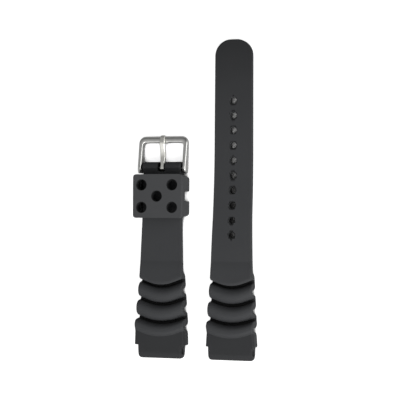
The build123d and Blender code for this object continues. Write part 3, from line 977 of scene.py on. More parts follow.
def bowed_ribs(name):
    """Carries each rib towards the flat along a bow, as far as its points' share."""
    sizes = ["Middle", "Lug groove", "Middle groove", "Flat groove"]
    sizes += ["Lug bow", "Middle bow", "Flat bow", "Bow limit"]
    inputs = [("Geometry", "NodeSocketGeometry", None)]
    inputs += [(size, "NodeSocketFloat", 0.0) for size in sizes]
    inputs.append(("Material", "NodeSocketMaterial", None))
    outputs = [("Geometry", "NodeSocketGeometry")]
    tree, given, result = new_tree(name, "GeometryNodeTree", inputs, outputs)
    position = node(tree, "GeometryNodeInputPosition").outputs[0]
    split_up = node(tree, "ShaderNodeSeparateXYZ", {0: position}).outputs
    across = sums(tree, "SUBTRACT", split_up[0], given["Middle"])
    y = split_up[1]
    lug_groove, middle_groove, flat_groove = [given[size] for size in sizes[1:4]]
    lug_bow, middle_bow, flat_bow = [given[size] for size in sizes[4:7]]
    lower = spread_value(tree, y, lug_groove, middle_groove, lug_bow, middle_bow)
    change = sums(tree, "SUBTRACT", flat_bow, middle_bow)
    upper = spread_value(tree, y, middle_groove, flat_groove, 0.0, change)
    radius = sums(tree, "ADD", lower, upper)
    out = sums(tree, "ABSOLUTE", across)
    arc_end = sums(tree, "MULTIPLY", radius, sums(tree, "SINE", given["Bow limit"]))
    bend = sums(tree, "MINIMUM", out, arc_end)
    radius_square = sums(tree, "MULTIPLY", radius, radius)
    bend_square = sums(tree, "MULTIPLY", bend, bend)
    square = sums(tree, "SUBTRACT", radius_square, bend_square)
    curved = sums(tree, "SUBTRACT", radius, sums(tree, "SQRT", square))
    lean = sums(tree, "TANGENT", given["Bow limit"])
    straight = sums(tree, "MULTIPLY", sums(tree, "SUBTRACT", out, bend), lean)
    depth = sums(tree, "ADD", curved, straight)
    part = node(tree, "GeometryNodeInputNamedAttribute", {0: "bow_share"}).outputs[0]
    offset = node(tree, "ShaderNodeCombineXYZ", {1: sums(tree, "MULTIPLY", depth, part)})
    links = {0: given["Geometry"], "Offset": offset.outputs[0]}
    moved = node(tree, "GeometryNodeSetPosition", links)
    return end_tree(tree, moved.outputs[0], given, result)


def row_of_punches(name):
    """Sets a punch at each point of a grid, dropped onto the surface below."""
    inputs = [
        ("Surface", "NodeSocketGeometry", None),
        ("Punch", "NodeSocketObject", None),
        ("Columns", "NodeSocketInt", 1),
        ("Rows", "NodeSocketInt", 1),
        ("Across", "NodeSocketFloat", 0.0),
        ("Along", "NodeSocketFloat", 0.0),
        ("Middle", "NodeSocketVector", (0.0, 0.0, 0.0)),
        ("Material", "NodeSocketMaterial", None),
    ]
    outputs = [("Geometry", "NodeSocketGeometry")]
    tree, given, result = new_tree(name, "GeometryNodeTree", inputs, outputs)
    links = {"Vertices X": given["Columns"], "Vertices Y": given["Rows"]}
    for size, copies, gap in (("Size X", "Columns", "Across"), ("Size Y", "Rows", "Along")):
        steps = sums(tree, "SUBTRACT", given[copies], 1.0)
        links[size] = sums(tree, "MULTIPLY", steps, given[gap])
    grid = node(tree, "GeometryNodeMeshGrid", links)
    links = {0: grid.outputs[0], "Offset": given["Middle"]}
    lifted = node(tree, "GeometryNodeSetPosition", links)
    links = {"Target Geometry": given["Surface"], "Ray Direction": DOWN, "Ray Length": 1.0}
    hit = node(tree, "GeometryNodeRaycast", links)
    links = {0: lifted.outputs[0], "Position": hit.outputs["Hit Position"]}
    landed = node(tree, "GeometryNodeSetPosition", links)
    tool = node(tree, "GeometryNodeObjectInfo", {"Object": given["Punch"]})
    links = {"Points": landed.outputs[0], "Instance": tool.outputs["Geometry"]}
    copies = node(tree, "GeometryNodeInstanceOnPoints", links)
    return end_tree(tree, copies.outputs[0], given, result)


def run_tree(piece, tree, **values):
    """Runs a tree on a piece with its inputs by name, and leaves a plain mesh."""
    step = piece.modifiers.new(tree.name, "NODES")
    step.node_group = tree
    names = {
        item.name: item.identifier
        for item in tree.interface.items_tree
        if item.item_type == "SOCKET" and item.in_out == "INPUT"
    }
    for key, value in values.items():
        step[names[key.replace("_", " ").capitalize()]] = value
    bake(piece)


def punch(name, radius, rim, depth, reach):
    """A punch whose rims flare, with its face end at the origin and pointing down."""
    rows = [(reach, radius + rim)]
    for turn in RIM_TURNS:
        rows.append((-rim * sin(radians(turn)), radius + rim * (1 - sin(radians(turn)))))
    for turn in reversed(RIM_TURNS):
        rows.append((-depth + rim * sin(radians(turn)), radius + rim * (1 - sin(radians(turn)))))
    rows.append((-depth - reach, radius + rim))
    return lathe(name, rows, Vector((0, 0, 1)), Vector((0, 0, 0)))


def punched(name, surface, grid, **values):
    """Cutters at a grid's points on a surface, as one object."""
    piece = place(name, surface.data.copy())
    columns, rows, across, along = grid
    values.update(columns=columns, rows=rows, across=across, along=along)
    run_tree(piece, found_or_built("Row of punches", row_of_punches), **values)
    return piece


# Shader node groups


def mottled_grain(name):
    """Moulded rubber: a fine grain, and broad cloudy patches in its colour."""
    inputs = [
        ("Colour", "NodeSocketColor", (0.03, 0.03, 0.03, 1.0)),
        ("Patch size", "NodeSocketFloat", 70.0),
        ("Patch strength", "NodeSocketFloat", 0.12),
        ("Grain size", "NodeSocketFloat", 2600.0),
        ("Roughness", "NodeSocketFloat", 0.6),
        ("Roughness change", "NodeSocketFloat", 0.15),
        ("Patch height", "NodeSocketFloat", 2.0),
    ]
    tree, given, result = new_tree(name, "ShaderNodeTree", inputs, FINISH_OUTPUTS)
    where = node(tree, "ShaderNodeTexCoord").outputs["Object"]
    patches = noise(tree, where, given["Patch size"], detail=4.0)
    grain = noise(tree, where, given["Grain size"], detail=3.0)
    swing = sums(tree, "SUBTRACT", patches, 0.5)
    gain = sums(tree, "ADD", 1.0, sums(tree, "MULTIPLY", swing, given["Patch strength"]))
    wobble = sums(tree, "MULTIPLY", sums(tree, "SUBTRACT", grain, 0.5), given["Roughness change"])
    height = sums(tree, "ADD", grain, sums(tree, "MULTIPLY", patches, given["Patch height"]))
    tree.links.new(scaled(tree, given["Colour"], gain), result["Colour"])
    tree.links.new(sums(tree, "ADD", given["Roughness"], wobble), result["Roughness"])
    tree.links.new(height, result["Height"])
    return tree


def edge_scuff_and_sheen(name):
    """Puts a second colour onto edges, where a rounded normal turns away: scuffed wear and a painted
    sheen where edges catch the light.
    """
    inputs = [
        ("Colour", "NodeSocketColor", (0.03, 0.03, 0.03, 1.0)),
        ("Worn colour", "NodeSocketColor", (0.06, 0.06, 0.06, 1.0)),
        ("Radius", "NodeSocketFloat", 0.4 * MM),
        ("Amount", "NodeSocketFloat", 0.5),
        ("Break size", "NodeSocketFloat", 900.0),
    ]
    outputs = [("Colour", "NodeSocketColor")]
    tree, given, result = new_tree(name, "ShaderNodeTree", inputs, outputs)
    rounded = node(tree, "ShaderNodeBevel", {"Radius": given["Radius"]}, samples=4).outputs[0]
    plain = node(tree, "ShaderNodeNewGeometry").outputs["Normal"]
    links = {0: rounded, 1: plain}
    agree = node(tree, "ShaderNodeVectorMath", links, operation="DOT_PRODUCT").outputs["Value"]
    edge = spread_value(tree, agree, *SCUFF_AND_SHEEN_BY_TURN)
    where = node(tree, "ShaderNodeTexCoord").outputs["Object"]
    patchy = spread_value(tree, noise(tree, where, given["Break size"], detail=3.0), *SCUFF_AND_SHEEN_BY_NOISE)
    mask = sums(tree, "MULTIPLY", sums(tree, "MULTIPLY", edge, patchy), given["Amount"])
    links = {0: mask, 6: given["Colour"], 7: given["Worn colour"]}
    mixed = node(tree, "ShaderNodeMix", links, data_type="RGBA")
    tree.links.new(mixed.outputs[2], result["Colour"])
    return tree


def handled_steel(name):
    """Polished steel that has been handled: hairlines along an axis and faint smears."""
    inputs = [
        ("Colour", "NodeSocketColor", (0.6, 0.6, 0.6, 1.0)),
        ("Roughness", "NodeSocketFloat", 0.2),
        ("Hairlines", "NodeSocketVector", (400.0, 6000.0, 6000.0)),
        ("Hairline strength", "NodeSocketFloat", 0.4),
        ("Smears", "NodeSocketFloat", 0.12),
        ("Smear size", "NodeSocketFloat", 180.0),
    ]
    tree, given, result = new_tree(name, "ShaderNodeTree", inputs, FINISH_OUTPUTS)
    where = node(tree, "ShaderNodeTexCoord").outputs["Object"]
    links = {0: where, 1: given["Hairlines"]}
    stretched = node(tree, "ShaderNodeVectorMath", links, operation="MULTIPLY").outputs[0]
    lines = noise(tree, stretched, scale=1.0, detail=2.0)
    smears = noise(tree, where, given["Smear size"], detail=4.0)
    marks = sums(tree, "ADD", smears, sums(tree, "MULTIPLY", lines, given["Hairline strength"]))
    change = sums(tree, "MULTIPLY", marks, given["Smears"])
    shade = spread_value(tree, smears, *SHADE_BY_SMEAR)
    tree.links.new(scaled(tree, given["Colour"], shade), result["Colour"])
    tree.links.new(sums(tree, "ADD", given["Roughness"], change), result["Roughness"])
    tree.links.new(lines, result["Height"])
    return tree


# Materials


def new_material(name):
    """An empty node material with its Principled shader."""
    material = bpy.data.materials.new(name)
    material.use_nodes = True
    tree = material.node_tree
    tree.nodes.clear()
    shader = tree.nodes.new("ShaderNodeBsdfPrincipled")
    output = tree.nodes.new("ShaderNodeOutputMaterial")
    tree.links.new(shader.outputs[0], output.inputs[0])
    return material, tree, shader


def place_group(tree, name, build, links):
    """A node group in a material, with its inputs."""
    group = found_or_built(name, build)
    return node(tree, "ShaderNodeGroup", links, node_tree=group).outputs


def finish_surface(tree, shader, colour, roughness, height, strength, depth):
    """Links what changes over a surface to its shader: colour, roughness and relief."""
    links = {"Strength": strength, "Distance": depth, "Height": height}
    relief = node(tree, "ShaderNodeBump", links).outputs[0]
    for socket, value in (("Base Color", colour), ("Roughness", roughness), ("Normal", relief)):
        tree.links.new(value, shader.inputs[socket])


def solid(colour):
    """A colour property as a shader colour."""
    return (colour[0], colour[1], colour[2], 1.0)


def rubber(name, colour, specular, scuff_and_sheen):
    """Matt moulded rubber, in the tone that the piece carries at each point, which holds painted
    shade in grooves and holes and a painted light falloff to the tail; its edges get dust and a
    painted sheen.
    """
    found = bpy.data.materials.get(name)
    if found:
        return found
    finish = bpy.context.scene.strap_finish
    material, tree, shader = new_material(name)
    tone_here = node(tree, "ShaderNodeAttribute", attribute_name="tone").outputs["Fac"]
    toned = scaled(tree, tuple(colour), tone_here)
    links = {"Colour": toned, "Roughness": RUBBER_ROUGHNESS}
    grain = place_group(tree, "Mottled grain", mottled_grain, links)
    links = {"Colour": grain["Colour"], "Worn colour": solid(finish.edge_dust_and_sheen)}
    links["Amount"] = sums(tree, "MULTIPLY", tone_here, scuff_and_sheen)
    edge_coloured = place_group(tree, "Edge wear", edge_scuff_and_sheen, links)["Colour"]
    height = grain["Height"]
    finish_surface(tree, shader, edge_coloured, grain["Roughness"], height, finish.grain, GRAIN_DEPTH)
    shader.inputs["Specular IOR Level"].default_value = specular
    return material


def steel(name, colour, roughness, hairlines, smears):
    """Polished or satin steel, brighter on its edges as scuffed wear and as a painted highlight."""
    found = bpy.data.materials.get(name)
    if found:
        return found
    material, tree, shader = new_material(name)
    links = {"Colour": solid(colour), "Roughness": roughness}
    links.update({"Hairlines": hairlines, "Smears": smears})
    handled = place_group(tree, "Handled steel", handled_steel, links)
    links = {"Colour": handled["Colour"], "Worn colour": BRIGHT_EDGE}
    links.update({"Radius": STEEL_EDGE, "Amount": STEEL_SCUFF_AND_SHEEN})
    edge_coloured = place_group(tree, "Edge wear", edge_scuff_and_sheen, links)["Colour"]
    lines = handled["Height"]
    finish_surface(tree, shader, edge_coloured, handled["Roughness"], lines, LINE_STRENGTH, LINE_DEPTH)
    shader.inputs["Metallic"].default_value = 1.0
    return material


def table_material(colour, glow):
    """Matt table, paler where the camera sees it than in what it lights.

    It is dark in places as narrow as a hole, as on the photo.
    """
    material, tree, shader = new_material("Pale table")
    links = {"Colour": solid(colour), "Roughness": 0.85, "Patch strength": 0.01, "Patch size": 6.0}
    grain = place_group(tree, "Mottled grain", mottled_grain, links)
    around = node(tree, "ShaderNodeAmbientOcclusion", {"Distance": TABLE_REACH}).outputs["AO"]
    shaded = scaled(tree, grain["Colour"], spread_value(tree, around, *TABLE_SHADE))
    tree.links.new(shaded, shader.inputs["Base Color"])
    tree.links.new(grain["Roughness"], shader.inputs["Roughness"])
    shader.inputs["Specular IOR Level"].default_value = 0.1
    shader.inputs["Emission Color"].default_value = (1.0, 1.0, 1.0, 1.0)
    seen = node(tree, "ShaderNodeLightPath").outputs["Is Camera Ray"]
    free = sums(tree, "MULTIPLY", seen, spread_value(tree, around, *TABLE_GLOW))
    tree.links.new(sums(tree, "MULTIPLY", free, glow), shader.inputs["Emission Strength"])
    return material


def strap_rubber():
    """Rubber of both halves."""
    finish = bpy.context.scene.strap_finish
    return rubber("Strap rubber", finish.strap, specular=0.12, scuff_and_sheen=0.2)


def keeper_rubber():
    """Rubber of the keeper, a little paler."""
    finish = bpy.context.scene.strap_finish
    return rubber("Keeper rubber", finish.keeper, specular=0.14, scuff_and_sheen=0.25)


def buckle_steel():
    """Steel of the bow, with faint hairlines across."""
    colour = bpy.context.scene.strap_finish.buckle
    lines = (300.0, 1800.0, 1800.0)
    return steel("Buckle steel", colour, roughness=0.27, hairlines=lines, smears=0.08)


def tang_steel():
    """Steel of the tang, with faint hairlines along it."""
    colour = bpy.context.scene.strap_finish.tang
    lines = (1800.0, 300.0, 1800.0)
    return steel("Tang steel", colour, roughness=0.24, hairlines=lines, smears=0.1)


def bar_steel():
    """Steel of the spring bar, turned on a lathe."""
    colour = bpy.context.scene.strap_finish.bar
    lines = (9000.0, 300.0, 300.0)
    return steel("Bar steel", colour, roughness=0.24, hairlines=lines, smears=0.14)


def spring_wire():
    """Wire of the spring."""
    colour = bpy.context.scene.strap_finish.spring
    lines = (2000.0, 2000.0, 2000.0)
    return steel("Spring wire", colour, roughness=0.34, hairlines=lines, smears=0.1)


def dress(piece, material):
    """Gives a piece one material."""
    piece.data.materials.clear()
    piece.data.materials.append(material)


# The two halves


def half_rings(lug, flat, pairs, plan):
    """Rings of right-hand points through all the pairs of a half."""
    rings = []
    for pair in pairs:
        shares = bow_shares(lug, pair)
        radius = edge_radius(lug, flat, plan, pair)
        rings.append(half_ring(lug, plan, pair, shares, radius))
    return rings


def bow_the_ribs(piece, lug, middle):
    """Bends the straight ribs of a half into their bows."""
    run_tree(
        piece,
        found_or_built("Bowed ribs", bowed_ribs),
        middle=middle,
        lug_groove=last_groove(lug),
        middle_groove=lug.first_groove - lug.pitch,
        flat_groove=lug.first_groove,
        lug_bow=lug.bow_lug,
        middle_bow=lug.bow_middle,
        flat_bow=lug.bow_flat,
        bow_limit=lug.bow_limit,
        material=strap_rubber(),
    )
    piece.data.attributes.remove(piece.data.attributes["bow_share"])


def lug_bore(lug, middle):
    """Cutter for the bore through a half's lug tube."""
    centre = Vector((middle, 0, TABLE + lug.lug_radius))
    return bore("lug_bore", centre, Vector(RIGHT), lug.lug_width / 2, lug.bore_radius, lug.bore_mouth)


class STRAP_OT_buckle_half(bpy.types.Operator):
    """Build the buckle half, with its ribs, its loop and the tang's slot"""

    bl_idname = "dive_strap.buckle_half"
    bl_label = "Buckle half"

    def execute(self, context):
        lug, flat = context.scene.strap_lug_end, context.scene.strap_flat
        bar, loop = flat.bar_place, flat.loop_radius
        neck = bar - flat.neck_length
        plan = Plan(
            lug,
            (flat.short_shoulder, flat.short_shoulder_root, flat.short_ribs),
            flat.short_tube_edge,
            flat.short_root,
            [
                (flat.short_middle_place, flat.short_middle / 2),
                (neck, flat.short_neck / 2),
                (bar - flat.neck_end, flat.short_end / 2),
                (bar + loop, flat.short_end / 2),
            ],
            bar + loop,
            flat.loop_corner,
            bar + 2 * loop,
        )
        pairs = lug_end_pairs(lug, flat)
        thick = flat.thickness
        neck_face = (neck, flat.neck_height + thick)
        neck_back = (neck, flat.neck_height)
        face_end = pairs[-1][0]
        face = rounded_path(
            [face_end, (lug.root_top, lug.root_height + thick), neck_face, (bar, 2 * loop)],
            [ROOT_BEND, NECK_BEND],
        )
        back = rounded_path([(lug.bulge_end, lug.root_height), neck_back, (bar, 0.0)], [NECK_BEND])
        pairs += matched(face, back, NECK_RINGS)
        for i in range(1, TUBE_STEPS + 1):
            turn = radians(90 - 90 * i / TUBE_STEPS)
            y = bar + loop * cos(turn)
            pairs.append(((y, loop + loop * sin(turn)), (y, loop - loop * sin(turn))))
        piece = loft("buckle_half", half_rings(lug, flat, pairs, plan), 0.0, capped=())
        bow_the_ribs(piece, lug, 0.0)
        centre = Vector((0, bar, TABLE + loop))
        mouth = lug.bore_mouth / 2
        bar_bore = bore("bar_bore", centre, Vector(RIGHT), flat.short_end / 2, flat.bar_bore, mouth)
        slot_length = 2 * (bar + 2 * loop - flat.slot_back)
        slot_middle = (0.0, flat.slot_back + slot_length / 2)
        outline = rounded_rectangle(slot_middle, (flat.slot_width, slot_length), flat.slot_corner)
        slot = prism("tang_slot", outline, TABLE - loop, TABLE + 3 * loop)
        cut(piece, lug_bore(lug, 0.0), bar_bore, slot)
        soften(piece, STRAP_SHARP)
        dress(piece, strap_rubber())
        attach(piece, "short_half")
        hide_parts("short_strap")
        return {"FINISHED"}


class STRAP_OT_long_half(bpy.types.Operator):
    """Build the long half, with its ribs, its holes and its round tail"""

    bl_idname = "dive_strap.long_half"
    bl_label = "Long half"

    def execute(self, context):
        lug, flat = context.scene.strap_lug_end, context.scene.strap_flat
        middle = flat.long_middle_x
        plan = Plan(
            lug,
            (flat.long_shoulder, flat.long_shoulder_root, flat.long_ribs),
            flat.long_tube_edge,
            flat.long_root,
            [
                (flat.long_middle_place, flat.long_middle / 2),
                (flat.tail_tip - flat.tail_corner, flat.long_tail / 2),
            ],
            flat.tail_tip,
            flat.tail_corner,
            flat.tail_tip - TIP_ZONE_SHARE * flat.tail_corner,
        )
        pairs = lug_end_pairs(lug, flat)
        face_start, back_start = pairs[-1]
        thick = flat.thickness
        level_start = lug.root_top + LEVEL_RUN

        def back_height(y):
            run = (y - lug.bulge_end) / (flat.table_place - lug.bulge_end)
            return lug.root_height * (1 - ease(run))

        def face_height(y):
            run = (y - lug.root_top) / (flat.table_place - lug.root_top)
            return thick + lug.root_height * (1 - ease(run))

        face = [face_start]
        face += [(y, face_height(y)) for y in (lug.root_top, level_start)]
        back = [back_start, (level_start, back_height(level_start))]
        pairs += matched(face, back, LEVEL_RINGS)
        straight_end = flat.tail_tip - flat.tail_corner
        for i in range(1, TAIL_RINGS + 1):
            y = level_start + (straight_end - level_start) * i / TAIL_RINGS
            pairs.append(((y, face_height(y)), (y, back_height(y))))
        for turn in TIP_TURNS:
            y = straight_end + flat.tail_corner * sin(radians(turn))
            pairs.append(((y, thick), (y, 0.0)))
        piece = loft("long_half", half_rings(lug, flat, pairs, plan), middle, capped=(-1,))
        bow_the_ribs(piece, lug, middle)
        radius, rim = flat.hole_radius, flat.hole_rim
        tool = punch("hole_punch", radius, rim, flat.thickness, STRAP_PUNCH_REACH)
        # The punch paints shade onto the walls of the holes
        give_hole_tone(tool, radius + rim / 2)
        row_middle = flat.first_hole + flat.hole_pitch * (flat.hole_count - 1) / 2
        holes = punched(
            "strap_holes",
            piece,
            (1, flat.hole_count, 0.0, flat.hole_pitch),
            punch=tool,
            middle=(middle, row_middle, DROP_HEIGHT),
            material=strap_rubber(),
        )
        remove(tool)
        cut(piece, lug_bore(lug, middle), holes)
        soften(piece, STRAP_SHARP)
        dress(piece, strap_rubber())
        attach(piece, "long_half")
        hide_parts("long_strap")
        return {"FINISHED"}


# The keeper


def keeper_sleeve(keeper, middle):
    """The keeper as a solid block, shorter at its back and round in each corner."""
    size, middle_height = (keeper.width, keeper.height), keeper.height / 2
    outline = rounded_rectangle((0.0, middle_height), size, keeper.corner, SLEEVE_STEPS)
    bm = bmesh.new()
    loops = []
    insets = [keeper.plan_corner * part for part in CORNER_SHARES]
    for side, inset in [(-1, d) for d in insets] + [(1, d) for d in insets[::-1]]:
        narrow = 1 - lip(inset, keeper.plan_corner) / (keeper.width / 2)
        reach = keeper.span / 2 - inset
        loop = []
        for x, h in outline:
            y = middle + side * (reach - keeper.tuck * (1 - h / keeper.height))
            loop.append(bm.verts.new((x * narrow, y, TABLE + h)))
        loops.append(loop)
    return skin("keeper_sleeve", bm, loops)


def keeper_tunnel(keeper, middle):
    """Cutter for the tunnel that the strap runs through."""
    size = (keeper.tunnel_width, keeper.tunnel_height)
    outline = rounded_rectangle((0.0, 0.0), size, keeper.tunnel_corner)
    tunnel = prism("tunnel", outline, -keeper.span, keeper.span)
    turn = Matrix.Rotation(radians(90), 4, "X")
    lift = TABLE + keeper.back_wall + keeper.tunnel_height / 2
    tunnel.data.transform(Matrix.Translation((0.0, middle, lift)) @ turn)
    return tunnel


def side_notch(keeper, middle, side):
    """Cutter for the notch in one side of the keeper."""
    size = (2 * keeper.notch_depth, keeper.notch_length)
    outline = rounded_rectangle((side * keeper.width / 2, middle), size, keeper.notch_corner)
    top = TABLE + keeper.height - keeper.notch_below
    return prism("side_notch", outline, TABLE - keeper.height, top)


class STRAP_OT_keeper(bpy.types.Operator):
    """Build the keeper, with its tunnel, five holes and side notches"""

    bl_idname = "dive_strap.keeper"
    bl_label = "Keeper"

    def execute(self, context):
        keeper, flat = context.scene.strap_keeper, context.scene.strap_flat
        ear = context.scene.strap_buckle.ear_radius
        middle = flat.bar_place - ear - keeper.gap - keeper.span / 2
        piece = keeper_sleeve(keeper, middle)
        tunnel = keeper_tunnel(keeper, middle)
        notches = [side_notch(keeper, middle, side) for side in (-1, 1)]
        rim, depth = KEEPER_PUNCH_RIM, KEEPER_PUNCH_DEPTH
        tool = punch("keeper_punch", keeper.hole_radius, rim, depth, KEEPER_PUNCH_REACH)
        for shape in (piece, tunnel, *notches):
            give_tone(shape, 1.0)
        # The punch paints shade onto the walls of the keeper's holes
        give_tone(tool, HOLE_SHADE)
        place_of_holes = (-keeper.hole_offset, middle, DROP_HEIGHT)
        values = {"punch": tool, "middle": place_of_holes, "material": keeper_rubber()}
        holes = [
            punched("keeper_holes", piece, grid, **values)
            for grid in ((2, 2, keeper.hole_across, keeper.hole_along), (1, 1, 0.0, 0.0))
        ]
        remove(tool)
        cut(piece, tunnel, *notches, *holes)
        round_edges(piece, keeper.edge)
        soften(piece, KEEPER_SHARP)
        dress(piece, keeper_rubber())
        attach(piece, "keeper")
        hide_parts("keeper")
        return {"FINISHED"}


# The buckle


def bow_lines(buckle, bar, height):
    """Functions for the upper and lower side of the buckle's bow, seen from the side."""
    ear, end = buckle.ear_radius, buckle.bar_thickness / 2
    far = bar + buckle.window + buckle.bar_breadth - end
    run, drop = far - bar, height - end
    lean, spread_angle = atan(drop / run), asin((ear - end) / hypot(run, drop))
    upper, lower = lean + spread_angle, lean - spread_angle

    def side(y, slope, sign):
        near_touch = bar + sign * ear * sin(slope)
        far_touch = far + sign * end * sin(slope)
        if y <= near_touch:
            return height + sign * sqrt(max(ear * ear - (y - bar) ** 2, 0.0))
        if y >= far_touch:
            return end + sign * sqrt(max(end * end - (y - far) ** 2, 0.0))
        return height + sign * (ear / cos(slope)) - (y - bar) * sin(slope) / cos(slope)

    return (lambda y: side(y, upper, 1)), (lambda y: side(y, lower, -1))


def bow_contours(buckle, bar):
    """Matched points of the bow's inner and outer outline, from ear to ear."""
    start = bar - buckle.ear_radius
    half_in, half_out = buckle.inner_width / 2, buckle.inner_width / 2 + buckle.arm
    far_in, far_out = bar + buckle.window, bar + buckle.window + buckle.bar_breadth
    corner_in = (half_in - buckle.inner_corner, far_in - buckle.inner_corner)
    corner_out = (half_out - buckle.outer_corner, far_out - buckle.outer_corner)
    rows = []
    for i in range(ARC_STEPS + 1):
        y = bar - buckle.ear_radius * cos(radians(90 * i / ARC_STEPS))
        rows.append(((half_in, y), (half_out, y)))
    for i in range(1, ARM_STEPS + 1):
        part = i / ARM_STEPS
        y_in, y_out = bar + (corner_in[1] - bar) * part, bar + (corner_out[1] - bar) * part
        rows.append(((half_in, y_in), (half_out, y_out)))
    inner = arc(corner_in, buckle.inner_corner, 0, 90, CORNER_STEPS)
    outer = arc(corner_out, buckle.outer_corner, 0, 90, CORNER_STEPS)
    rows += list(zip(inner, outer))[1:]
    for i in range(1, ARC_STEPS + 1):
        part = 1 - i / ARC_STEPS
        rows.append(((corner_in[0] * part, far_in), (corner_out[0] * part, far_out)))
    mirrored = [((-i[0], i[1]), (-o[0], o[1])) for i, o in reversed(rows[:-1])]
    return rows + mirrored


class STRAP_OT_buckle(bpy.types.Operator):
    """Build the buckle's bow with its two ears"""

    bl_idname = "dive_strap.buckle"
    bl_label = "Buckle bow"

    def execute(self, context):
        buckle, flat = context.scene.strap_buckle, context.scene.strap_flat
        bar, height = flat.bar_place, flat.loop_radius
        upper, lower = bow_lines(buckle, bar, height)
        bm = bmesh.new()
        loops = []
        for inner, outer in bow_contours(buckle, bar):
            loop = []
            for i in range(SECTION_STEPS):
                turn = radians(360 * i / SECTION_STEPS)
                a = squarer(cos(turn), buckle.section_power)
                c = squarer(sin(turn), buckle.section_power)
                part = (a + 1) / 2
                x = inner[0] + (outer[0] - inner[0]) * part
                y = inner[1] + (outer[1] - inner[1]) * part
                top, bottom = upper(y), lower(y)
                h = (top + bottom) / 2 + c * (top - bottom) / 2
                loop.append(bm.verts.new((x, y, TABLE + h)))
            loops.append(loop)
        piece = skin("buckle_bow", bm, loops, capped=())
        reach = buckle.inner_width / 2 + buckle.ear_hole_depth
        rows = [(-reach, buckle.ear_hole), (reach, buckle.ear_hole)]
        hole = lathe("ear_hole", rows, Vector(RIGHT), Vector((0, bar, TABLE + height)))
        cut(piece, hole)
        soften(piece, BOW_SHARP)
        dress(piece, buckle_steel())
        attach(piece, "buckle_frame")
        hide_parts("buckle_frame")
        return {"FINISHED"}


def tang_ring(face_point, back_point, rows):
    """(x, y, height) around the right half of one ring of the tang."""
    face, back = Vector(face_point), Vector(back_point)
    gap = (face - back).length
    edge = min(TANG_EDGE, gap * TANG_EDGE_SHARE)
    ring = []
    for kind, value in ring_route():
        inset = edge * (1 - sin(radians(value)))
        fall = edge * (1 - cos(radians(value))) / gap
        if kind == "side":
            inset, fall = 0.0, (edge + (gap - 2 * edge) * value) / gap
        part = {"face": 0.0, "upper": fall, "side": fall, "lower": 1 - fall, "back": 1.0}[kind]
        point = face.lerp(back, part)
        half_wide = between(rows, point.x)
        x = (half_wide - edge) * value if kind in ("face", "back") else half_wide - inset
        ring.append((x, point.x, point.y))
    return ring


class STRAP_OT_tang(bpy.types.Operator):
    """Build the tang, rolled round the spring bar and hooked over the far bar"""

    bl_idname = "dive_strap.tang"
    bl_label = "Tang"

    def execute(self, context):
        buckle, flat = context.scene.strap_buckle, context.scene.strap_flat
        bar, height = flat.bar_place, flat.loop_radius
        upper, _ = bow_lines(buckle, bar, height)
        inner, outer = buckle.roll_bore, buckle.roll_bore + buckle.roll_wall
        half, thick = buckle.tang_thickness / 2, buckle.tang_thickness
        dip = bar + buckle.dip_reach
        far_in, far_out = bar + buckle.window, bar + buckle.window + buckle.bar_breadth
        tip = far_out + buckle.overhang
        slope = (upper(far_in - SLOPE_RUN) - upper(far_in)) / SLOPE_RUN

        def over(y):
            return upper(far_in) - (y - far_in) * slope + buckle.over_bar

        roll_out = arc((bar, height), outer, ROLL_SEAM, ROLL_TOP - 360, ROLL_STEPS)
        roll_in = arc((bar, height), inner, ROLL_SEAM, ROLL_TOP - 360, ROLL_STEPS)
        pairs = list(zip(roll_out, roll_in))
        face = rounded_path(
            [
                (bar, height + outer),
                (bar + outer, height + outer - SHOULDER_FALL),
                (dip, buckle.dip_height + half),
                (far_in, over(far_in) + thick),
                (tip - half, over(tip) + thick),
                (tip, over(tip) + half),
                (tip, over(tip) + half - buckle.tip_drop * TIP_FACE_SHARE),
            ],
            FACE_BENDS,
        )
        front = arc((bar, height), inner, ROLL_TOP, ROLL_FRONT)
        back = front + rounded_path(
            [
                front[-1],
                (dip, buckle.dip_height - half),
                (far_in, over(far_in)),
                (far_out, over(far_out)),
                (tip - TIP_SETBACK, over(tip) + half - buckle.tip_drop),
            ],
            BACK_BENDS,
        )[1:]
        pairs += matched(face, back, TANG_RINGS)
        neck, wide = buckle.tang_neck / 2, buckle.tang_width / 2
        rows = [
            (bar + outer, neck),
            (dip - WIDE_RUN, wide),
            (far_in - WIDE_RUN, wide),
            (far_out - TAPER_RUN, wide * TAPER_SHARE),
            (tip, wide * TIP_SHARE),
        ]
        rings = [tang_ring(face_point, back_point, rows) for face_point, back_point in pairs]
        piece = loft("tang_tongue", rings, 0.0, capped=(-1,))
        bm = bmesh.new()
        bm.from_mesh(piece.data)
        bmesh.ops.holes_fill(bm, edges=bm.edges)
        bmesh.ops.recalc_face_normals(bm, faces=bm.faces)
        bm.to_mesh(piece.data)
        bm.free()
        for layer in LAYERS:
            piece.data.attributes.remove(piece.data.attributes[layer])
        soften(piece, TANG_SHARP)
        dress(piece, tang_steel())
        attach(piece, "tang")
        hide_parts("tang")
        return {"FINISHED"}


class STRAP_OT_spring_bar(bpy.types.Operator):
    """Finish the spring bar: its barrel, its two pins and its spring"""

    bl_idname = "dive_strap.spring_bar"
    bl_label = "Spring bar"

    def execute(self, context):
        for name in ("bar_barrel", "bar_pin_left", "bar_pin_right"):
            dress(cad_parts[name], bar_steel())
        dress(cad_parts["bar_spring"], spring_wire())
        return {"FINISHED"}


# The studio


def area_light(name, stand, size, aim, power):
    """A white rectangular soft light turned to a point."""
    data = bpy.data.lights.new(name, "AREA")
    data.shape = "RECTANGLE"
    data.size, data.size_y = size
    data.energy = power
    lamp = bpy.data.objects.new(name, data)
    bpy.context.scene.collection.objects.link(lamp)
    lamp.location = stand
    lamp.rotation_euler = (Vector(aim) - Vector(stand)).to_track_quat("-Z", "Y").to_euler()


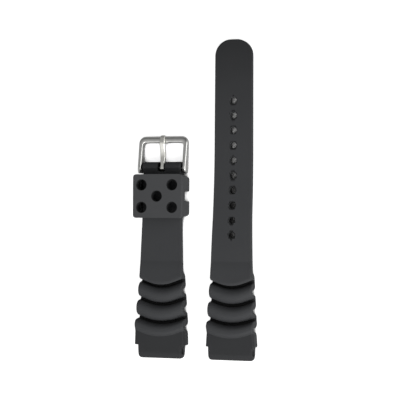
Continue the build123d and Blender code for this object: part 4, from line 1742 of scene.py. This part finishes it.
def room(strength):
    """A pale room: bright overhead, darker at the horizon, the back and the right."""
    world = bpy.data.worlds.new("Pale room")
    bpy.context.scene.world = world
    world.use_nodes = True
    tree = world.node_tree
    tree.nodes.clear()
    where = node(tree, "ShaderNodeTexCoord").outputs["Generated"]
    x, y, z = node(tree, "ShaderNodeSeparateXYZ", {0: where}).outputs
    up = spread_value(tree, z, *LIGHT_BY_HEIGHT)
    front = spread_value(tree, y, *LIGHT_TO_FRONT)
    left = spread_value(tree, x, *LIGHT_TO_LEFT)
    level = sums(tree, "MULTIPLY", up, sums(tree, "MULTIPLY", front, left))
    colour = node(tree, "ShaderNodeCombineXYZ", {0: level, 1: level, 2: level})
    light = node(tree, "ShaderNodeBackground", {0: colour.outputs[0], 1: strength})
    output = tree.nodes.new("ShaderNodeOutputWorld")
    tree.links.new(light.outputs[0], output.inputs[0])


class STRAP_OT_studio(bpy.types.Operator):
    """Set up the table, the lights and the camera"""

    bl_idname = "dive_strap.studio"
    bl_label = "Studio"

    def execute(self, context):
        studio = context.scene.strap_studio
        mesh = bpy.data.meshes.new("table_top")
        corners = [(-1, -1), (1, -1), (1, 1), (-1, 1)]
        points = [
            (studio.aim_x + x * TABLE_HALF, studio.aim_y + y * TABLE_HALF, TABLE - TABLE_GAP)
            for x, y in corners
        ]
        mesh.from_pydata(points, [], [(0, 1, 2, 3)])
        table = place("table_top", mesh)
        dress(table, table_material(context.scene.strap_finish.table, studio.glow))
        aim = (studio.aim_x, studio.aim_y, 0.0)
        area_light("Key", KEY_STAND, KEY_SIZE, aim, studio.key)
        area_light("Side", SIDE_STAND, SIDE_SIZE, aim, studio.fill)
        room(studio.sky)
        data = bpy.data.cameras.new("Camera")
        data.lens = studio.lens
        data.sensor_width = SENSOR_WIDTH
        data.clip_start = NEAREST_SEEN
        camera = bpy.data.objects.new("Camera", data)
        context.scene.collection.objects.link(camera)
        turn = (
            Matrix.Rotation(studio.camera_tilt, 4, "Y")
            @ Matrix.Rotation(studio.camera_pitch, 4, "X")
            @ Matrix.Rotation(studio.camera_roll, 4, "Z")
        )
        back = turn.to_3x3().col[2]
        spot = Vector(aim) + back * studio.camera_distance
        camera.matrix_world = Matrix.Translation(spot) @ turn
        context.scene.camera = camera
        context.scene.view_settings.view_transform = "Standard"
        return {"FINISHED"}


class STRAP_PT_panel(bpy.types.Panel):
    """Buttons that build the strap"""

    bl_label = "Dive strap"
    bl_idname = "STRAP_PT_panel"
    bl_space_type = "VIEW_3D"
    bl_region_type = "UI"
    bl_category = "Dive strap"

    def draw(self, context):
        for operator in OPERATORS:
            self.layout.operator(operator.bl_idname)
        for group, kind in GROUPS.items():
            box = self.layout.box()
            box.label(text=kind.__doc__)
            for name in kind.__annotations__:
                box.prop(getattr(context.scene, group), name)


OPERATORS = (
    STRAP_OT_buckle_half,
    STRAP_OT_long_half,
    STRAP_OT_keeper,
    STRAP_OT_buckle,
    STRAP_OT_tang,
    STRAP_OT_spring_bar,
    STRAP_OT_studio,
)


def register():
    for kind in (*GROUPS.values(), *OPERATORS, STRAP_PT_panel):
        bpy.utils.register_class(kind)
    for name, kind in GROUPS.items():
        setattr(bpy.types.Scene, name, PointerProperty(type=kind))


def unregister():
    for name in GROUPS:
        delattr(bpy.types.Scene, name)
    for kind in (STRAP_PT_panel, *reversed(OPERATORS), *reversed(GROUPS.values())):
        bpy.utils.unregister_class(kind)


def main():
    """Builds every piece and the studio."""
    register()
    bpy.ops.dive_strap.buckle_half()
    bpy.ops.dive_strap.long_half()
    bpy.ops.dive_strap.keeper()
    bpy.ops.dive_strap.buckle()
    bpy.ops.dive_strap.tang()
    bpy.ops.dive_strap.spring_bar()
    bpy.ops.dive_strap.studio()


if __name__ == "__main__":
    main()
